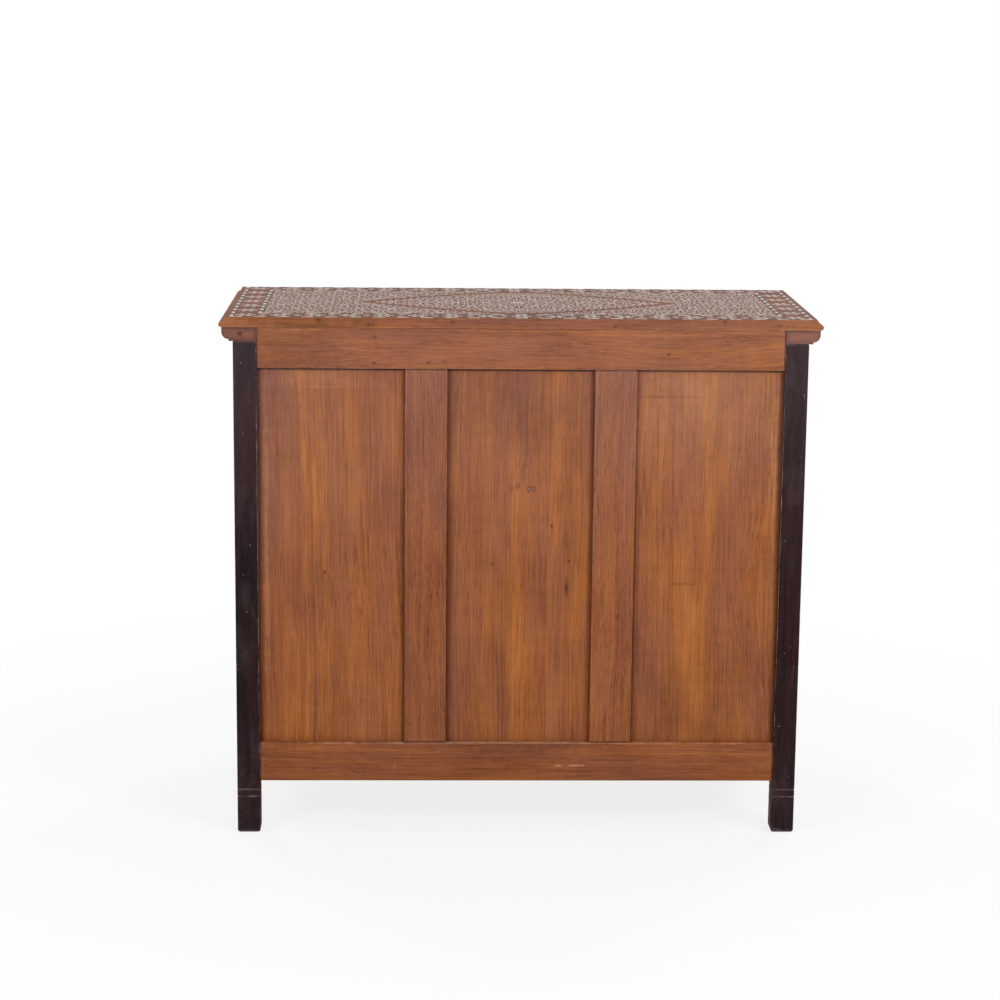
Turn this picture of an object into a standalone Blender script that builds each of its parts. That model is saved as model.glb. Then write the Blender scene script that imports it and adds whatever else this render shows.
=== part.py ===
"""Inlaid chest of drawers: two short drawers over two long ones, in a framed and panelled case.

Metres, +Z up, the drawers face -Y. The origin is on the floor, in the middle of the chest's outer box.
Left and right are those of someone who stands in front of the drawers.
"""

import math

import bmesh
import bpy
from mathutils import Vector

# Case
CASE_WIDTH = 0.986  # over the posts
CASE_DEPTH = 0.428  # over the posts
HEIGHT = 0.918  # floor to the top surface
FOOT_HEIGHT = 0.096  # floor to the lowest rails
POST = 0.040  # square section

# Feet of the posts
FOOT_CHAMFER = 0.005
SCORE_HEIGHTS = (0.067, 0.080)  # two lines cut round each foot
SCORE_DEPTH = 0.0012
SCORE_WIDTH = 0.0022

# Top board and the moulding frame under it
TOP_THICKNESS = 0.018
TOP_OVERHANG = 0.024  # from the posts to the tip of the bead
BEAD_RADIUS = 0.005
TOP_ARRIS_INSET = 0.010  # from the tip of the bead back to the upper edge
TOP_FILLET = 0.0025  # the upright step above the cove
MOULDING_HEIGHT = 0.024
MOULDING_FILLET = 0.007  # upright face above the ovolo
OVOLO_WIDTH = 0.011
OVOLO_HEIGHT = 0.013
MOULDING_QUIRK = 0.001

# Frame and panels of the back and of the sides
RAIL_THICKNESS = 0.020
BACK_TOP_RAIL_HEIGHT = 0.070
BACK_BOTTOM_RAIL_HEIGHT = 0.070
SIDE_TOP_RAIL_HEIGHT = 0.070
SIDE_BOTTOM_RAIL_HEIGHT = 0.070
MUNTIN_WIDTH = 0.072
PANEL_THICKNESS = 0.010
PANEL_RECESS = 0.009  # from the outer face of the frame
PANEL_TONGUE = 0.008  # how far a panel sits in its grooves

# Mortise and tenon joints
TENON_LENGTH = 0.016
TENON_THICKNESS = 0.008
TENON_SHOULDER = 0.007

# Front frame: the upper rows are given, and the lowest row takes the height that is left
FRONT_TOP_RAIL_HEIGHT = 0.024
FRONT_BOTTOM_RAIL_HEIGHT = 0.050
DRAWER_RAIL_HEIGHT = 0.022
SHORT_ROW_HEIGHT = 0.176
MIDDLE_ROW_HEIGHT = 0.232
DIVIDER_WIDTH = 0.022

# Runners, each a ledge under a drawer side and a guide beside it
LEDGE_WIDTH = 0.020
LEDGE_THICKNESS = 0.016
GUIDE_HEIGHT = 0.030
CROSS_RAIL_DEPTH = 0.019

# Drawers
FRONT_RECESS = 0.001  # drawer fronts behind the faces of the posts
REVEAL = 0.0015  # gap round each drawer front
DRAWER_FRONT_THICKNESS = 0.020
DRAWER_SIDE_THICKNESS = 0.012
DRAWER_BACK_THICKNESS = 0.012
DRAWER_BOTTOM_THICKNESS = 0.008
DRAWER_BOTTOM_RAISE = 0.010  # underside of the bottom above the lower edge of the sides
DRAWER_GROOVE = 0.005  # how far the bottom and the back sit in the sides
DRAWER_RIM_DROP = 0.006  # upper edge of the sides below the opening
DRAWER_BACK_DROP = 0.008  # upper edge of the back below that of the sides
DRAWER_REAR_GAP = 0.006  # behind a closed drawer
TAIL_LENGTH = 0.012
TAIL_PITCH = 0.050  # about one dovetail for each of these
TAIL_SHARE = 0.5  # width of a tail at its root, of the pitch
TAIL_FLARE = 0.003  # a tail widens by this on each side

# Knobs
KNOB_RADIUS = 0.015
KNOB_LENGTH = 0.025
KNOB_NECK_RADIUS = 0.0075
KNOB_NECK_LENGTH = 0.008
KNOB_COLLAR_RADIUS = 0.011
KNOB_COLLAR_LENGTH = 0.003
KNOB_SPIGOT_RADIUS = 0.005
KNOB_SPIGOT_LENGTH = 0.014
KNOB_INSET = 0.200  # from the ends of a long drawer to its knobs
KNOB_STEPS = 18

FIT = 0.0003  # clearance of every seat
CUT_MARGIN = 0.002  # how far an open-ended cutter runs past the face that it opens
ARC_STEPS = 5  # straight pieces in a quarter of a moulding's round

# Places that follow from the sizes
FRONT_REACH = max(TOP_OVERHANG, KNOB_LENGTH - FRONT_RECESS)
BACK_Y = (CASE_DEPTH + FRONT_REACH) / 2
FRONT_Y = BACK_Y - CASE_DEPTH
OUTER_X = CASE_WIDTH / 2
INNER_X = OUTER_X - POST
INNER_FRONT_Y = FRONT_Y + POST
INNER_BACK_Y = BACK_Y - POST
MOULDING_REACH = TOP_OVERHANG - BEAD_RADIUS
TOP_UNDERSIDE = HEIGHT - TOP_THICKNESS
POST_HEIGHT = TOP_UNDERSIDE - MOULDING_HEIGHT
TENON_REACH = TENON_LENGTH - FIT
RAIL_INNER_X = OUTER_X - RAIL_THICKNESS
RAIL_INNER_Y = BACK_Y - RAIL_THICKNESS

FRONT_TOP_RAIL_UNDERSIDE = POST_HEIGHT - FRONT_TOP_RAIL_HEIGHT
SHORT_ROW = (FRONT_TOP_RAIL_UNDERSIDE - SHORT_ROW_HEIGHT, FRONT_TOP_RAIL_UNDERSIDE)
UPPER_RAIL = (SHORT_ROW[0] - DRAWER_RAIL_HEIGHT, SHORT_ROW[0])
MIDDLE_ROW = (UPPER_RAIL[0] - MIDDLE_ROW_HEIGHT, UPPER_RAIL[0])
LOWER_RAIL = (MIDDLE_ROW[0] - DRAWER_RAIL_HEIGHT, MIDDLE_ROW[0])
LOWER_ROW = (FOOT_HEIGHT + FRONT_BOTTOM_RAIL_HEIGHT, LOWER_RAIL[0])

SIDES = {"left": -1, "right": 1}
X, Y, Z = range(3)

parts = None
cutters = None
finishes = {}


def start_scene():
    """An empty scene with one collection for the chest and one for what cuts it."""
    global parts, cutters
    for obj in list(bpy.data.objects):
        bpy.data.objects.remove(obj)
    parts = bpy.data.collections.new("inlaid_chest_of_drawers")
    cutters = bpy.data.collections.new("cutters")
    for collection in (parts, cutters):
        bpy.context.scene.collection.children.link(collection)


def make_finish(name, colour, roughness):
    finish = bpy.data.materials.new(name)
    finish.use_nodes = True
    shader = finish.node_tree.nodes["Principled BSDF"]
    shader.inputs["Base Color"].default_value = (*colour, 1.0)
    shader.inputs["Roughness"].default_value = roughness
    shader.inputs["Metallic"].default_value = 0.0
    finishes[name] = finish


def make_finishes():
    make_finish("teak", (0.30, 0.115, 0.042), 0.45)
    make_finish("ebonised_wood", (0.022, 0.012, 0.012), 0.38)
    make_finish("drawer_lining", (0.36, 0.18, 0.08), 0.55)


def add_part(name, mesh, finish, holder=None):
    """The mesh as a named piece of the chest, carried by a holder if it moves."""
    obj = bpy.data.objects.new(name, mesh)
    obj.data.materials.append(finishes[finish])
    obj.parent = holder
    parts.objects.link(obj)
    return obj


def place(obj, point):
    """Puts the object's origin at a point of the chest, whatever it hangs on."""
    origin = obj.parent.location if obj.parent else Vector()
    obj.location = Vector(point) - origin


def box_mesh(name, size):
    shape = bmesh.new()
    bmesh.ops.create_cube(shape, size=1.0)
    bmesh.ops.scale(shape, vec=size, verts=shape.verts)
    mesh = bpy.data.meshes.new(name)
    shape.to_mesh(mesh)
    shape.free()
    return mesh


def board(name, low, high, finish, holder=None):
    """A plain board between two corners."""
    low, high = Vector(low), Vector(high)
    obj = add_part(name, box_mesh(name, high - low), finish, holder)
    place(obj, (low + high) / 2)
    return obj


def add_cutter(name, mesh):
    cutter = bpy.data.objects.new(name, mesh)
    cutter.hide_render = True
    cutter.display_type = "WIRE"
    cutters.objects.link(cutter)
    return cutter


def box_cutter(name, low, high):
    low, high = Vector(low), Vector(high)
    cutter = add_cutter(name, box_mesh(name, high - low))
    cutter.location = (low + high) / 2
    return cutter


def combine(obj, cutter, operation):
    modifier = obj.modifiers.new(cutter.name, "BOOLEAN")
    modifier.operation = operation
    modifier.object = cutter


def seat(name, carriers, low, high):
    """Cuts the housing for a block out of each piece that carries it, with the clearance of a seat."""
    grow = Vector((FIT, FIT, FIT))
    cutter = box_cutter(name, Vector(low) - grow, Vector(high) + grow)
    for carrier in carriers:
        combine(carrier, cutter, "DIFFERENCE")


def tenoned(name, low, high, along, thin, carriers, finish="teak"):
    """A rail with a tenon past each end along one axis, thin across another, and its mortises."""
    rail = board(name, low, high, finish)
    low, high = Vector(low), Vector(high)
    wide = 3 - along - thin
    low[along] -= TENON_REACH
    high[along] += TENON_REACH
    middle = (low[thin] + high[thin]) / 2
    low[thin] = middle - TENON_THICKNESS / 2
    high[thin] = middle + TENON_THICKNESS / 2
    low[wide] += TENON_SHOULDER
    high[wide] -= TENON_SHOULDER
    combine(rail, box_cutter(name + "_tenons", low, high), "UNION")
    seat(name + "_mortises", carriers, low, high)
    return rail


def stacked(name, outlines, finish):
    """A solid drawn upwards through rectangles, each given as its low and high corners at one height."""
    shape = bmesh.new()
    bmesh.ops.create_grid(shape, x_segments=1, y_segments=1, size=1.0)
    face = shape.faces[:][0]
    for step, (low, high, height) in enumerate(outlines):
        if step:
            covered = face
            made = bmesh.ops.extrude_face_region(shape, geom=[face])["geom"]
            face = next(item for item in made if isinstance(item, bmesh.types.BMFace))
            if step > 1:
                bmesh.ops.delete(shape, geom=[covered], context="FACES_ONLY")
        middle = face.calc_center_median()
        for vert in face.verts:
            vert.co.x = high[X] if vert.co.x > middle.x else low[X]
            vert.co.y = high[Y] if vert.co.y > middle.y else low[Y]
            vert.co.z = height
    bmesh.ops.recalc_face_normals(shape, faces=shape.faces)
    mesh = bpy.data.meshes.new(name)
    shape.to_mesh(mesh)
    shape.free()
    return add_part(name, mesh, finish)


def outline_mesh(name, points, thickness):
    """A flat outline in XY made a slab, half its thickness on each side of the plane."""
    curve = bpy.data.curves.new(name, "CURVE")
    curve.dimensions = "2D"
    curve.fill_mode = "BOTH"
    curve.extrude = thickness / 2
    spline = curve.splines.new("POLY")
    spline.points.add(len(points) - 1)
    for point, (across, up) in zip(spline.points, points):
        point.co = (across, up, 0.0, 1.0)
    spline.use_cyclic_u = True
    drawn = bpy.data.objects.new(name, curve)
    bpy.context.scene.collection.objects.link(drawn)
    graph = bpy.context.evaluated_depsgraph_get()
    mesh = bpy.data.meshes.new_from_object(drawn.evaluated_get(graph))
    mesh.materials.clear()
    bpy.data.objects.remove(drawn)
    shape = bmesh.new()
    shape.from_mesh(mesh)
    bmesh.ops.remove_doubles(shape, verts=shape.verts, dist=1e-6)
    bmesh.ops.recalc_face_normals(shape, faces=shape.faces)
    shape.to_mesh(mesh)
    shape.free()
    return mesh


def arc(centre, radii, start, end, steps):
    """Points along a round, angles in degrees."""
    turns = [math.radians(start + (end - start) * step / steps) for step in range(steps + 1)]
    return [(centre[0] + radii[0] * math.cos(turn), centre[1] + radii[1] * math.sin(turn)) for turn in turns]


def make_post(name, x_side, low_y):
    """A square post from the floor to the moulding, with a chamfered foot and two scored lines."""
    low_x = INNER_X if x_side > 0 else -OUTER_X
    low, high = Vector((low_x, low_y)), Vector((low_x + POST, low_y + POST))

    def square(inset, height):
        return (low + Vector((inset, inset)), high - Vector((inset, inset)), height)

    outlines = [square(FOOT_CHAMFER, 0.0), square(0.0, FOOT_CHAMFER)]
    for height in SCORE_HEIGHTS:
        outlines.append(square(0.0, height - SCORE_WIDTH / 2))
        outlines.append(square(SCORE_DEPTH, height))
        outlines.append(square(0.0, height + SCORE_WIDTH / 2))
    outlines.append(square(0.0, POST_HEIGHT))
    return stacked(name, outlines, "ebonised_wood")


def make_posts():
    posts = {}
    for side, x_side in SIDES.items():
        posts["front", side] = make_post("post_front_" + side, x_side, FRONT_Y)
        posts["rear", side] = make_post("post_rear_" + side, x_side, INNER_BACK_Y)
    return posts


def make_top_board():
    """The top: beaded on the front and at both ends, cut square at the back."""
    arris = TOP_OVERHANG - TOP_ARRIS_INSET
    neck = MOULDING_REACH
    bead_top = TOP_UNDERSIDE + 2 * BEAD_RADIUS
    fillet_foot = HEIGHT - TOP_FILLET
    bead = arc((neck, TOP_UNDERSIDE + BEAD_RADIUS), (BEAD_RADIUS, BEAD_RADIUS), -90, 90, 2 * ARC_STEPS)
    cove = arc((neck, fillet_foot), (neck - arris, fillet_foot - bead_top), 270, 180, ARC_STEPS)
    outlines = []
    for reach, height in bead + cove[1:] + [(arris, HEIGHT)]:
        half = OUTER_X + reach
        outlines.append(((-half, FRONT_Y - reach), (half, BACK_Y), height))
    stacked("top_board", outlines, "teak")


def moulding_profile():
    """Section of the moulding: distance out from the post's face, and height above the post."""
    foot = FIT
    head = MOULDING_HEIGHT - FIT
    ovolo_top = MOULDING_HEIGHT - MOULDING_FILLET
    ovolo_root = MOULDING_REACH - OVOLO_WIDTH
    ovolo = arc((ovolo_root, ovolo_top), (OVOLO_WIDTH, -OVOLO_HEIGHT), 0, 90, ARC_STEPS)
    quirk = ovolo_root - MOULDING_QUIRK
    step = ovolo_top - OVOLO_HEIGHT
    return [(-POST, head), (MOULDING_REACH, head)] + ovolo + [(quirk, step), (quirk, foot), (-POST, foot)]


def make_moulding(name, length, turn, place_at, mitres):
    """A moulded strip along its own Z. Each mitred end, -1 or 1, runs out at 45 degrees."""
    mesh = outline_mesh(name, moulding_profile(), length)
    for vert in mesh.vertices:
        end = 1 if vert.co.z > 0 else -1
        if end in mitres:
            vert.co.z += end * (vert.co.x - FIT)
    obj = add_part(name, mesh, "teak")
    obj.rotation_euler = (math.radians(90), 0.0, math.radians(turn))
    place(obj, place_at)


def make_mouldings():
    """Left, right and front strips that lie on the posts and carry the top."""
    middle_y = (FRONT_Y + BACK_Y) / 2
    make_moulding("moulding_left", CASE_DEPTH, 180, (-OUTER_X, middle_y, POST_HEIGHT), [-1])
    make_moulding("moulding_right", CASE_DEPTH, 0, (OUTER_X, middle_y, POST_HEIGHT), [1])
    make_moulding("moulding_front", CASE_WIDTH, -90, (0.0, FRONT_Y, POST_HEIGHT), [-1, 1])


def make_back(posts):
    """Two rails and two muntins round three panels, flush with the rear posts."""
    rear_posts = [posts["rear", side] for side in SIDES]
    reach = INNER_X - FIT
    lower_edge = FOOT_HEIGHT + BACK_BOTTOM_RAIL_HEIGHT
    upper_edge = TOP_UNDERSIDE - BACK_TOP_RAIL_HEIGHT
    top_low, top_high = (-reach, RAIL_INNER_Y, upper_edge), (reach, BACK_Y, TOP_UNDERSIDE - FIT)
    top_rail = board("back_top_rail", top_low, top_high, "teak")
    middle_y = (RAIL_INNER_Y + BACK_Y) / 2
    tenon_low = (-reach - TENON_REACH, middle_y - TENON_THICKNESS / 2, upper_edge + TENON_SHOULDER)
    tenon_high = (reach + TENON_REACH, middle_y + TENON_THICKNESS / 2, POST_HEIGHT - TENON_SHOULDER)
    combine(top_rail, box_cutter("back_top_rail_tenons", tenon_low, tenon_high), "UNION")
    seat("back_top_rail_mortises", rear_posts, tenon_low, tenon_high)
    bottom_rail = tenoned(
        "back_bottom_rail", (-reach, RAIL_INNER_Y, FOOT_HEIGHT), (reach, BACK_Y, lower_edge), X, Y, rear_posts
    )
    panel_width = (2 * INNER_X - 2 * MUNTIN_WIDTH) / 3
    muntins = {}
    for side, x_side in SIDES.items():
        middle = x_side * (panel_width + MUNTIN_WIDTH) / 2
        muntins[side] = tenoned(
            "back_muntin_" + side,
            (middle - MUNTIN_WIDTH / 2, RAIL_INNER_Y, lower_edge + FIT),
            (middle + MUNTIN_WIDTH / 2, BACK_Y, upper_edge - FIT),
            Z,
            Y,
            [top_rail, bottom_rail],
        )
    uprights = {
        "left": [posts["rear", "left"], muntins["left"]],
        "centre": [muntins["left"], muntins["right"]],
        "right": [muntins["right"], posts["rear", "right"]],
    }
    tongue = PANEL_TONGUE - FIT
    high_y = BACK_Y - PANEL_RECESS
    for column, (name, neighbours) in enumerate(uprights.items(), start=-1):
        middle = column * (panel_width + MUNTIN_WIDTH)
        half = panel_width / 2 + tongue
        low = (middle - half, high_y - PANEL_THICKNESS, lower_edge - tongue)
        high = (middle + half, high_y, upper_edge + tongue)
        board("back_panel_" + name, low, high, "teak")
        seat("back_panel_" + name + "_grooves", neighbours + [top_rail, bottom_rail], low, high)


def mirrored_span(x_side, inner, outer):
    """The low and high x of something between two distances from the middle, on one side."""
    return (inner, outer) if x_side > 0 else (-outer, -inner)


def make_sides(posts):
    """A panel between two rails on each side, flush with the posts."""
    low_y, high_y = INNER_FRONT_Y + FIT, INNER_BACK_Y - FIT
    lower_edge = FOOT_HEIGHT + SIDE_BOTTOM_RAIL_HEIGHT
    upper_edge = POST_HEIGHT - SIDE_TOP_RAIL_HEIGHT
    tongue = PANEL_TONGUE - FIT
    for side, x_side in SIDES.items():
        neighbours = [posts["front", side], posts["rear", side]]
        low_x, high_x = mirrored_span(x_side, RAIL_INNER_X, OUTER_X)
        top_rail = tenoned(
            "side_top_rail_" + side, (low_x, low_y, upper_edge), (high_x, high_y, POST_HEIGHT), Y, X, neighbours
        )
        bottom_rail = tenoned(
            "side_bottom_rail_" + side, (low_x, low_y, FOOT_HEIGHT), (high_x, high_y, lower_edge), Y, X, neighbours
        )
        panel_outer = OUTER_X - PANEL_RECESS
        low_x, high_x = mirrored_span(x_side, panel_outer - PANEL_THICKNESS, panel_outer)
        low = (low_x, INNER_FRONT_Y - tongue, lower_edge - tongue)
        high = (high_x, INNER_BACK_Y + tongue, upper_edge + tongue)
        board("side_panel_" + side, low, high, "teak")
        seat("side_panel_" + side + "_grooves", neighbours + [top_rail, bottom_rail], low, high)


def make_front_frame(posts):
    """Rails between the drawers, and the short upright between the two short drawers."""
    front_posts = [posts["front", side] for side in SIDES]
    rows = {
        "front_top_rail": (FRONT_TOP_RAIL_UNDERSIDE, POST_HEIGHT),
        "drawer_rail_upper": UPPER_RAIL,
        "drawer_rail_lower": LOWER_RAIL,
        "front_bottom_rail": (FOOT_HEIGHT, LOWER_ROW[0]),
    }
    reach = INNER_X - FIT
    rails = {}
    for name, (low_z, high_z) in rows.items():
        low, high = (-reach, FRONT_Y, low_z), (reach, INNER_FRONT_Y, high_z)
        rails[name] = tenoned(name, low, high, X, Z, front_posts)
    half = DIVIDER_WIDTH / 2
    low = (-half, FRONT_Y, SHORT_ROW[0] + FIT)
    high = (half, INNER_FRONT_Y, SHORT_ROW[1] - FIT)
    tenoned("drawer_divider", low, high, Z, X, [rails["front_top_rail"], rails["drawer_rail_upper"]])


def make_runner(name, points, low_y, high_y):
    """A runner of one section, drawn as x and z, from front to back."""
    obj = add_part(name, outline_mesh(name, points, high_y - low_y), "drawer_lining")
    obj.rotation_euler = (math.radians(90), 0.0, 0.0)
    place(obj, (0.0, (low_y + high_y) / 2, 0.0))


def make_runners(posts):
    """A runner at each end of each row, and one in the middle under the two short drawers."""
    low_y, high_y = INNER_FRONT_Y + FIT, INNER_BACK_Y - FIT
    rows = {"upper": SHORT_ROW[0], "middle": MIDDLE_ROW[0], "lower": LOWER_ROW[0]}
    guide_back = RAIL_INNER_X - FIT
    for row, ledge in rows.items():
        foot, head = ledge - LEDGE_THICKNESS, ledge + GUIDE_HEIGHT
        for side, x_side in SIDES.items():
            section = [
                (INNER_X - LEDGE_WIDTH, foot),
                (guide_back, foot),
                (guide_back, head),
                (INNER_X, head),
                (INNER_X, ledge),
                (INNER_X - LEDGE_WIDTH, ledge),
            ]
            points = [(x_side * across, up) for across, up in section]
            make_runner("runner_" + row + "_" + side, points, low_y, high_y)
    ledge = SHORT_ROW[0]
    foot, head = ledge - LEDGE_THICKNESS, ledge + GUIDE_HEIGHT
    guide, wing = DIVIDER_WIDTH / 2, DIVIDER_WIDTH / 2 + LEDGE_WIDTH
    outline = [(wing, foot), (wing, ledge), (guide, ledge), (guide, head)]
    points = outline + [(-across, up) for across, up in reversed(outline)]
    make_runner("runner_upper_centre", points, low_y, high_y)
    reach = INNER_X - FIT
    tenoned(
        "rear_cross_rail",
        (-reach, INNER_BACK_Y, foot),
        (reach, INNER_BACK_Y + CROSS_RAIL_DEPTH, ledge),
        X,
        Z,
        [posts["rear", side] for side in SIDES],
        "drawer_lining",
    )


def tailed_outline(low_z, high_z, root_y, tip_y, back_y, grow):
    """Outline of a drawer side in Y and Z, with dovetails past its front end. Grow widens the tails."""
    count = max(2, round((high_z - low_z) / TAIL_PITCH))
    pitch = (high_z - low_z) / count
    root_half = TAIL_SHARE * pitch / 2 + grow
    tip_half = root_half + TAIL_FLARE
    points = [(back_y, low_z - grow), (back_y, high_z + grow), (root_y, high_z + grow)]
    for tail in reversed(range(count)):
        middle = low_z + (tail + 0.5) * pitch
        points.append((root_y, middle + root_half))
        points.append((tip_y - grow, middle + tip_half))
        points.append((tip_y - grow, middle - tip_half))
        points.append((root_y, middle - root_half))
    points.append((root_y, low_z - grow))
    return points


def upright_slab(obj, x):
    """Stands a slab drawn in Y and Z up in the chest, with its middle at x."""
    obj.rotation_euler = (math.radians(90), 0.0, math.radians(90))
    place(obj, (x, 0.0, 0.0))


def knob_profile():
    """Half section of a turned knob, from the middle of its face down to the end of its spigot."""
    head_foot = KNOB_COLLAR_LENGTH + KNOB_NECK_LENGTH
    head_half = (KNOB_LENGTH - head_foot) / 2
    head = arc((0.0, head_foot + head_half), (KNOB_RADIUS, head_half), 90, -60, 2 * ARC_STEPS)
    neck = [(KNOB_NECK_RADIUS, head_foot), (KNOB_NECK_RADIUS, KNOB_COLLAR_LENGTH)]
    collar = [(KNOB_COLLAR_RADIUS, KNOB_COLLAR_LENGTH / 2), (KNOB_COLLAR_RADIUS, FIT)]
    spigot_end = -KNOB_SPIGOT_LENGTH
    spigot = [(KNOB_SPIGOT_RADIUS, FIT), (KNOB_SPIGOT_RADIUS, spigot_end), (0.0, spigot_end)]
    return [(0.0, KNOB_LENGTH)] + head[1:] + neck + collar + spigot


def make_knob(name, front, face_y, x, z, holder):
    """A turned knob whose spigot is glued into a blind hole in the drawer front."""
    shape = bmesh.new()
    verts = [shape.verts.new((radius, 0.0, along)) for radius, along in knob_profile()]
    for first, second in zip(verts, verts[1:]):
        shape.edges.new((first, second))
    mesh = bpy.data.meshes.new(name)
    shape.to_mesh(mesh)
    shape.free()
    knob = add_part(name, mesh, "ebonised_wood", holder)
    turning = knob.modifiers.new("turning", "SCREW")
    turning.steps = turning.render_steps = KNOB_STEPS
    turning.use_merge_vertices = True
    turning.merge_threshold = 1e-5
    turning.use_smooth_shade = True
    knob.rotation_euler = (math.radians(90), 0.0, 0.0)
    place(knob, (x, face_y, z))
    hole_depth = KNOB_SPIGOT_LENGTH + FIT + CUT_MARGIN
    drill = bmesh.new()
    hole_radius = KNOB_SPIGOT_RADIUS + FIT
    bmesh.ops.create_cone(
        drill, cap_ends=True, segments=KNOB_STEPS, radius1=hole_radius, radius2=hole_radius, depth=hole_depth
    )
    mesh = bpy.data.meshes.new(name + "_hole")
    drill.to_mesh(mesh)
    drill.free()
    cutter = add_cutter(name + "_hole", mesh)
    cutter.rotation_euler = (math.radians(90), 0.0, 0.0)
    cutter.location = (x, face_y - CUT_MARGIN + hole_depth / 2, z)
    combine(front, cutter, "DIFFERENCE")


def make_drawer(name, low_x, high_x, row, knobs):
    """A dovetailed drawer that fills one opening of the front. Knobs maps a knob's name to its x."""
    low_x, high_x = low_x + REVEAL, high_x - REVEAL
    low_z, high_z = row[0] + FIT, row[1] - DRAWER_RIM_DROP
    face_y = FRONT_Y + FRONT_RECESS
    root_y = face_y + DRAWER_FRONT_THICKNESS
    tip_y = root_y - TAIL_LENGTH
    rear_y = INNER_BACK_Y - DRAWER_REAR_GAP
    middle_x = (low_x + high_x) / 2

    holder = bpy.data.objects.new(name, None)
    holder.location = (middle_x, face_y, (row[0] + row[1]) / 2)
    parts.objects.link(holder)
    front_low, front_high = (low_x, face_y, row[0] + REVEAL), (high_x, root_y, row[1] - REVEAL)
    front = board(name + "_front", front_low, front_high, "teak", holder)

    sides = []
    for side, x_side in SIDES.items():
        outer_x = high_x if x_side > 0 else low_x
        outline = tailed_outline(low_z, high_z, root_y + FIT, tip_y, rear_y, 0.0)
        piece = name + "_side_" + side
        mesh = outline_mesh(piece, outline, DRAWER_SIDE_THICKNESS)
        sides.append(add_part(piece, mesh, "drawer_lining", holder))
        upright_slab(sides[-1], outer_x - x_side * DRAWER_SIDE_THICKNESS / 2)
        outline = tailed_outline(low_z, high_z, root_y + FIT, tip_y, rear_y, FIT)
        depth = DRAWER_SIDE_THICKNESS + FIT + CUT_MARGIN
        cutter = add_cutter(piece + "_sockets", outline_mesh(piece + "_sockets", outline, depth))
        upright_slab(cutter, outer_x + x_side * (CUT_MARGIN - depth / 2))
        combine(front, cutter, "DIFFERENCE")

    housed = DRAWER_SIDE_THICKNESS - DRAWER_GROOVE + FIT
    bottom_z = low_z + DRAWER_BOTTOM_RAISE
    bottom_low = (low_x + housed, root_y - DRAWER_GROOVE + FIT, bottom_z)
    bottom_high = (high_x - housed, rear_y, bottom_z + DRAWER_BOTTOM_THICKNESS)
    board(name + "_bottom", bottom_low, bottom_high, "drawer_lining", holder)
    seat(name + "_bottom_grooves", sides + [front], bottom_low, bottom_high)
    back_low = (low_x + housed, rear_y - DRAWER_BACK_THICKNESS, bottom_high[Z] + FIT)
    back_high = (high_x - housed, rear_y, high_z - DRAWER_BACK_DROP)
    board(name + "_back", back_low, back_high, "drawer_lining", holder)
    seat(name + "_back_housings", sides, back_low, back_high)

    for knob, knob_x in knobs.items():
        make_knob(knob, front, face_y, knob_x, (row[0] + row[1]) / 2, holder)


def make_drawers():
    half = DIVIDER_WIDTH / 2
    for side, x_side in SIDES.items():
        low_x, high_x = mirrored_span(x_side, half, INNER_X)
        name = "short_drawer_" + side
        make_drawer(name, low_x, high_x, SHORT_ROW, {name + "_knob": (low_x + high_x) / 2})
    for name, row in {"middle_drawer": MIDDLE_ROW, "lower_drawer": LOWER_ROW}.items():
        knob_x = INNER_X - KNOB_INSET
        knobs = {name + "_knob_" + side: x_side * knob_x for side, x_side in SIDES.items()}
        make_drawer(name, -INNER_X, INNER_X, row, knobs)


def main():
    start_scene()
    make_finishes()
    posts = make_posts()
    make_top_board()
    make_mouldings()
    make_back(posts)
    make_sides(posts)
    make_front_frame(posts)
    make_runners(posts)
    make_drawers()


main()
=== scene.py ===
"""Inlaid chest of drawers: boards, bone inlay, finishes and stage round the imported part.

Metres, +Z up, the drawers face -Y. The camera stands behind the chest, where the photograph was taken.
"""

import math
import random
from dataclasses import dataclass

import bmesh
import bpy
from bpy.props import FloatProperty, FloatVectorProperty, IntProperty, PointerProperty
from mathutils import Matrix, Vector
from mathutils.kdtree import KDTree


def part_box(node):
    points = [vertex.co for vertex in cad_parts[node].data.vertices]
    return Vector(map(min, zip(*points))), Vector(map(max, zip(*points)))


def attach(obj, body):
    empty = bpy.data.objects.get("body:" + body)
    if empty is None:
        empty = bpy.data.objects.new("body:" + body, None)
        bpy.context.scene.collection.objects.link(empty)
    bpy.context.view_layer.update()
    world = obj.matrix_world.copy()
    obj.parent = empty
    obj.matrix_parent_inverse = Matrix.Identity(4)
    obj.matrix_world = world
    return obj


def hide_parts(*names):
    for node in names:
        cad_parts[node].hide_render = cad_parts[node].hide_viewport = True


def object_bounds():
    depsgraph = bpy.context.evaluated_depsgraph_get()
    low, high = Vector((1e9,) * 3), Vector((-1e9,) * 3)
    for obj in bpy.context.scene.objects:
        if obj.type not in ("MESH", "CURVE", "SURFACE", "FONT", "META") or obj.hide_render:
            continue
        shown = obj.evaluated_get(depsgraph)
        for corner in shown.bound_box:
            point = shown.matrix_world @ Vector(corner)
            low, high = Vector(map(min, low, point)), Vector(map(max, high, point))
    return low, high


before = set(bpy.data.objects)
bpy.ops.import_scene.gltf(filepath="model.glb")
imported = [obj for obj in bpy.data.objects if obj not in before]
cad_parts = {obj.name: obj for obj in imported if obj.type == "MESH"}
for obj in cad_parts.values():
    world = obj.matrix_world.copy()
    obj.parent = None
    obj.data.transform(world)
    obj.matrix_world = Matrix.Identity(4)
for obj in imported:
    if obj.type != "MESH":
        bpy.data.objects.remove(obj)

bl_info = {
    "name": "Inlaid chest of drawers",
    "version": (1, 0, 0),
    "blender": (4, 5, 0),
    "location": "3D View > Sidebar > Chest",
    "description": "Dresses the packed chest with worn boards, bone inlay and a studio stage",
    "category": "Object",
}

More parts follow.
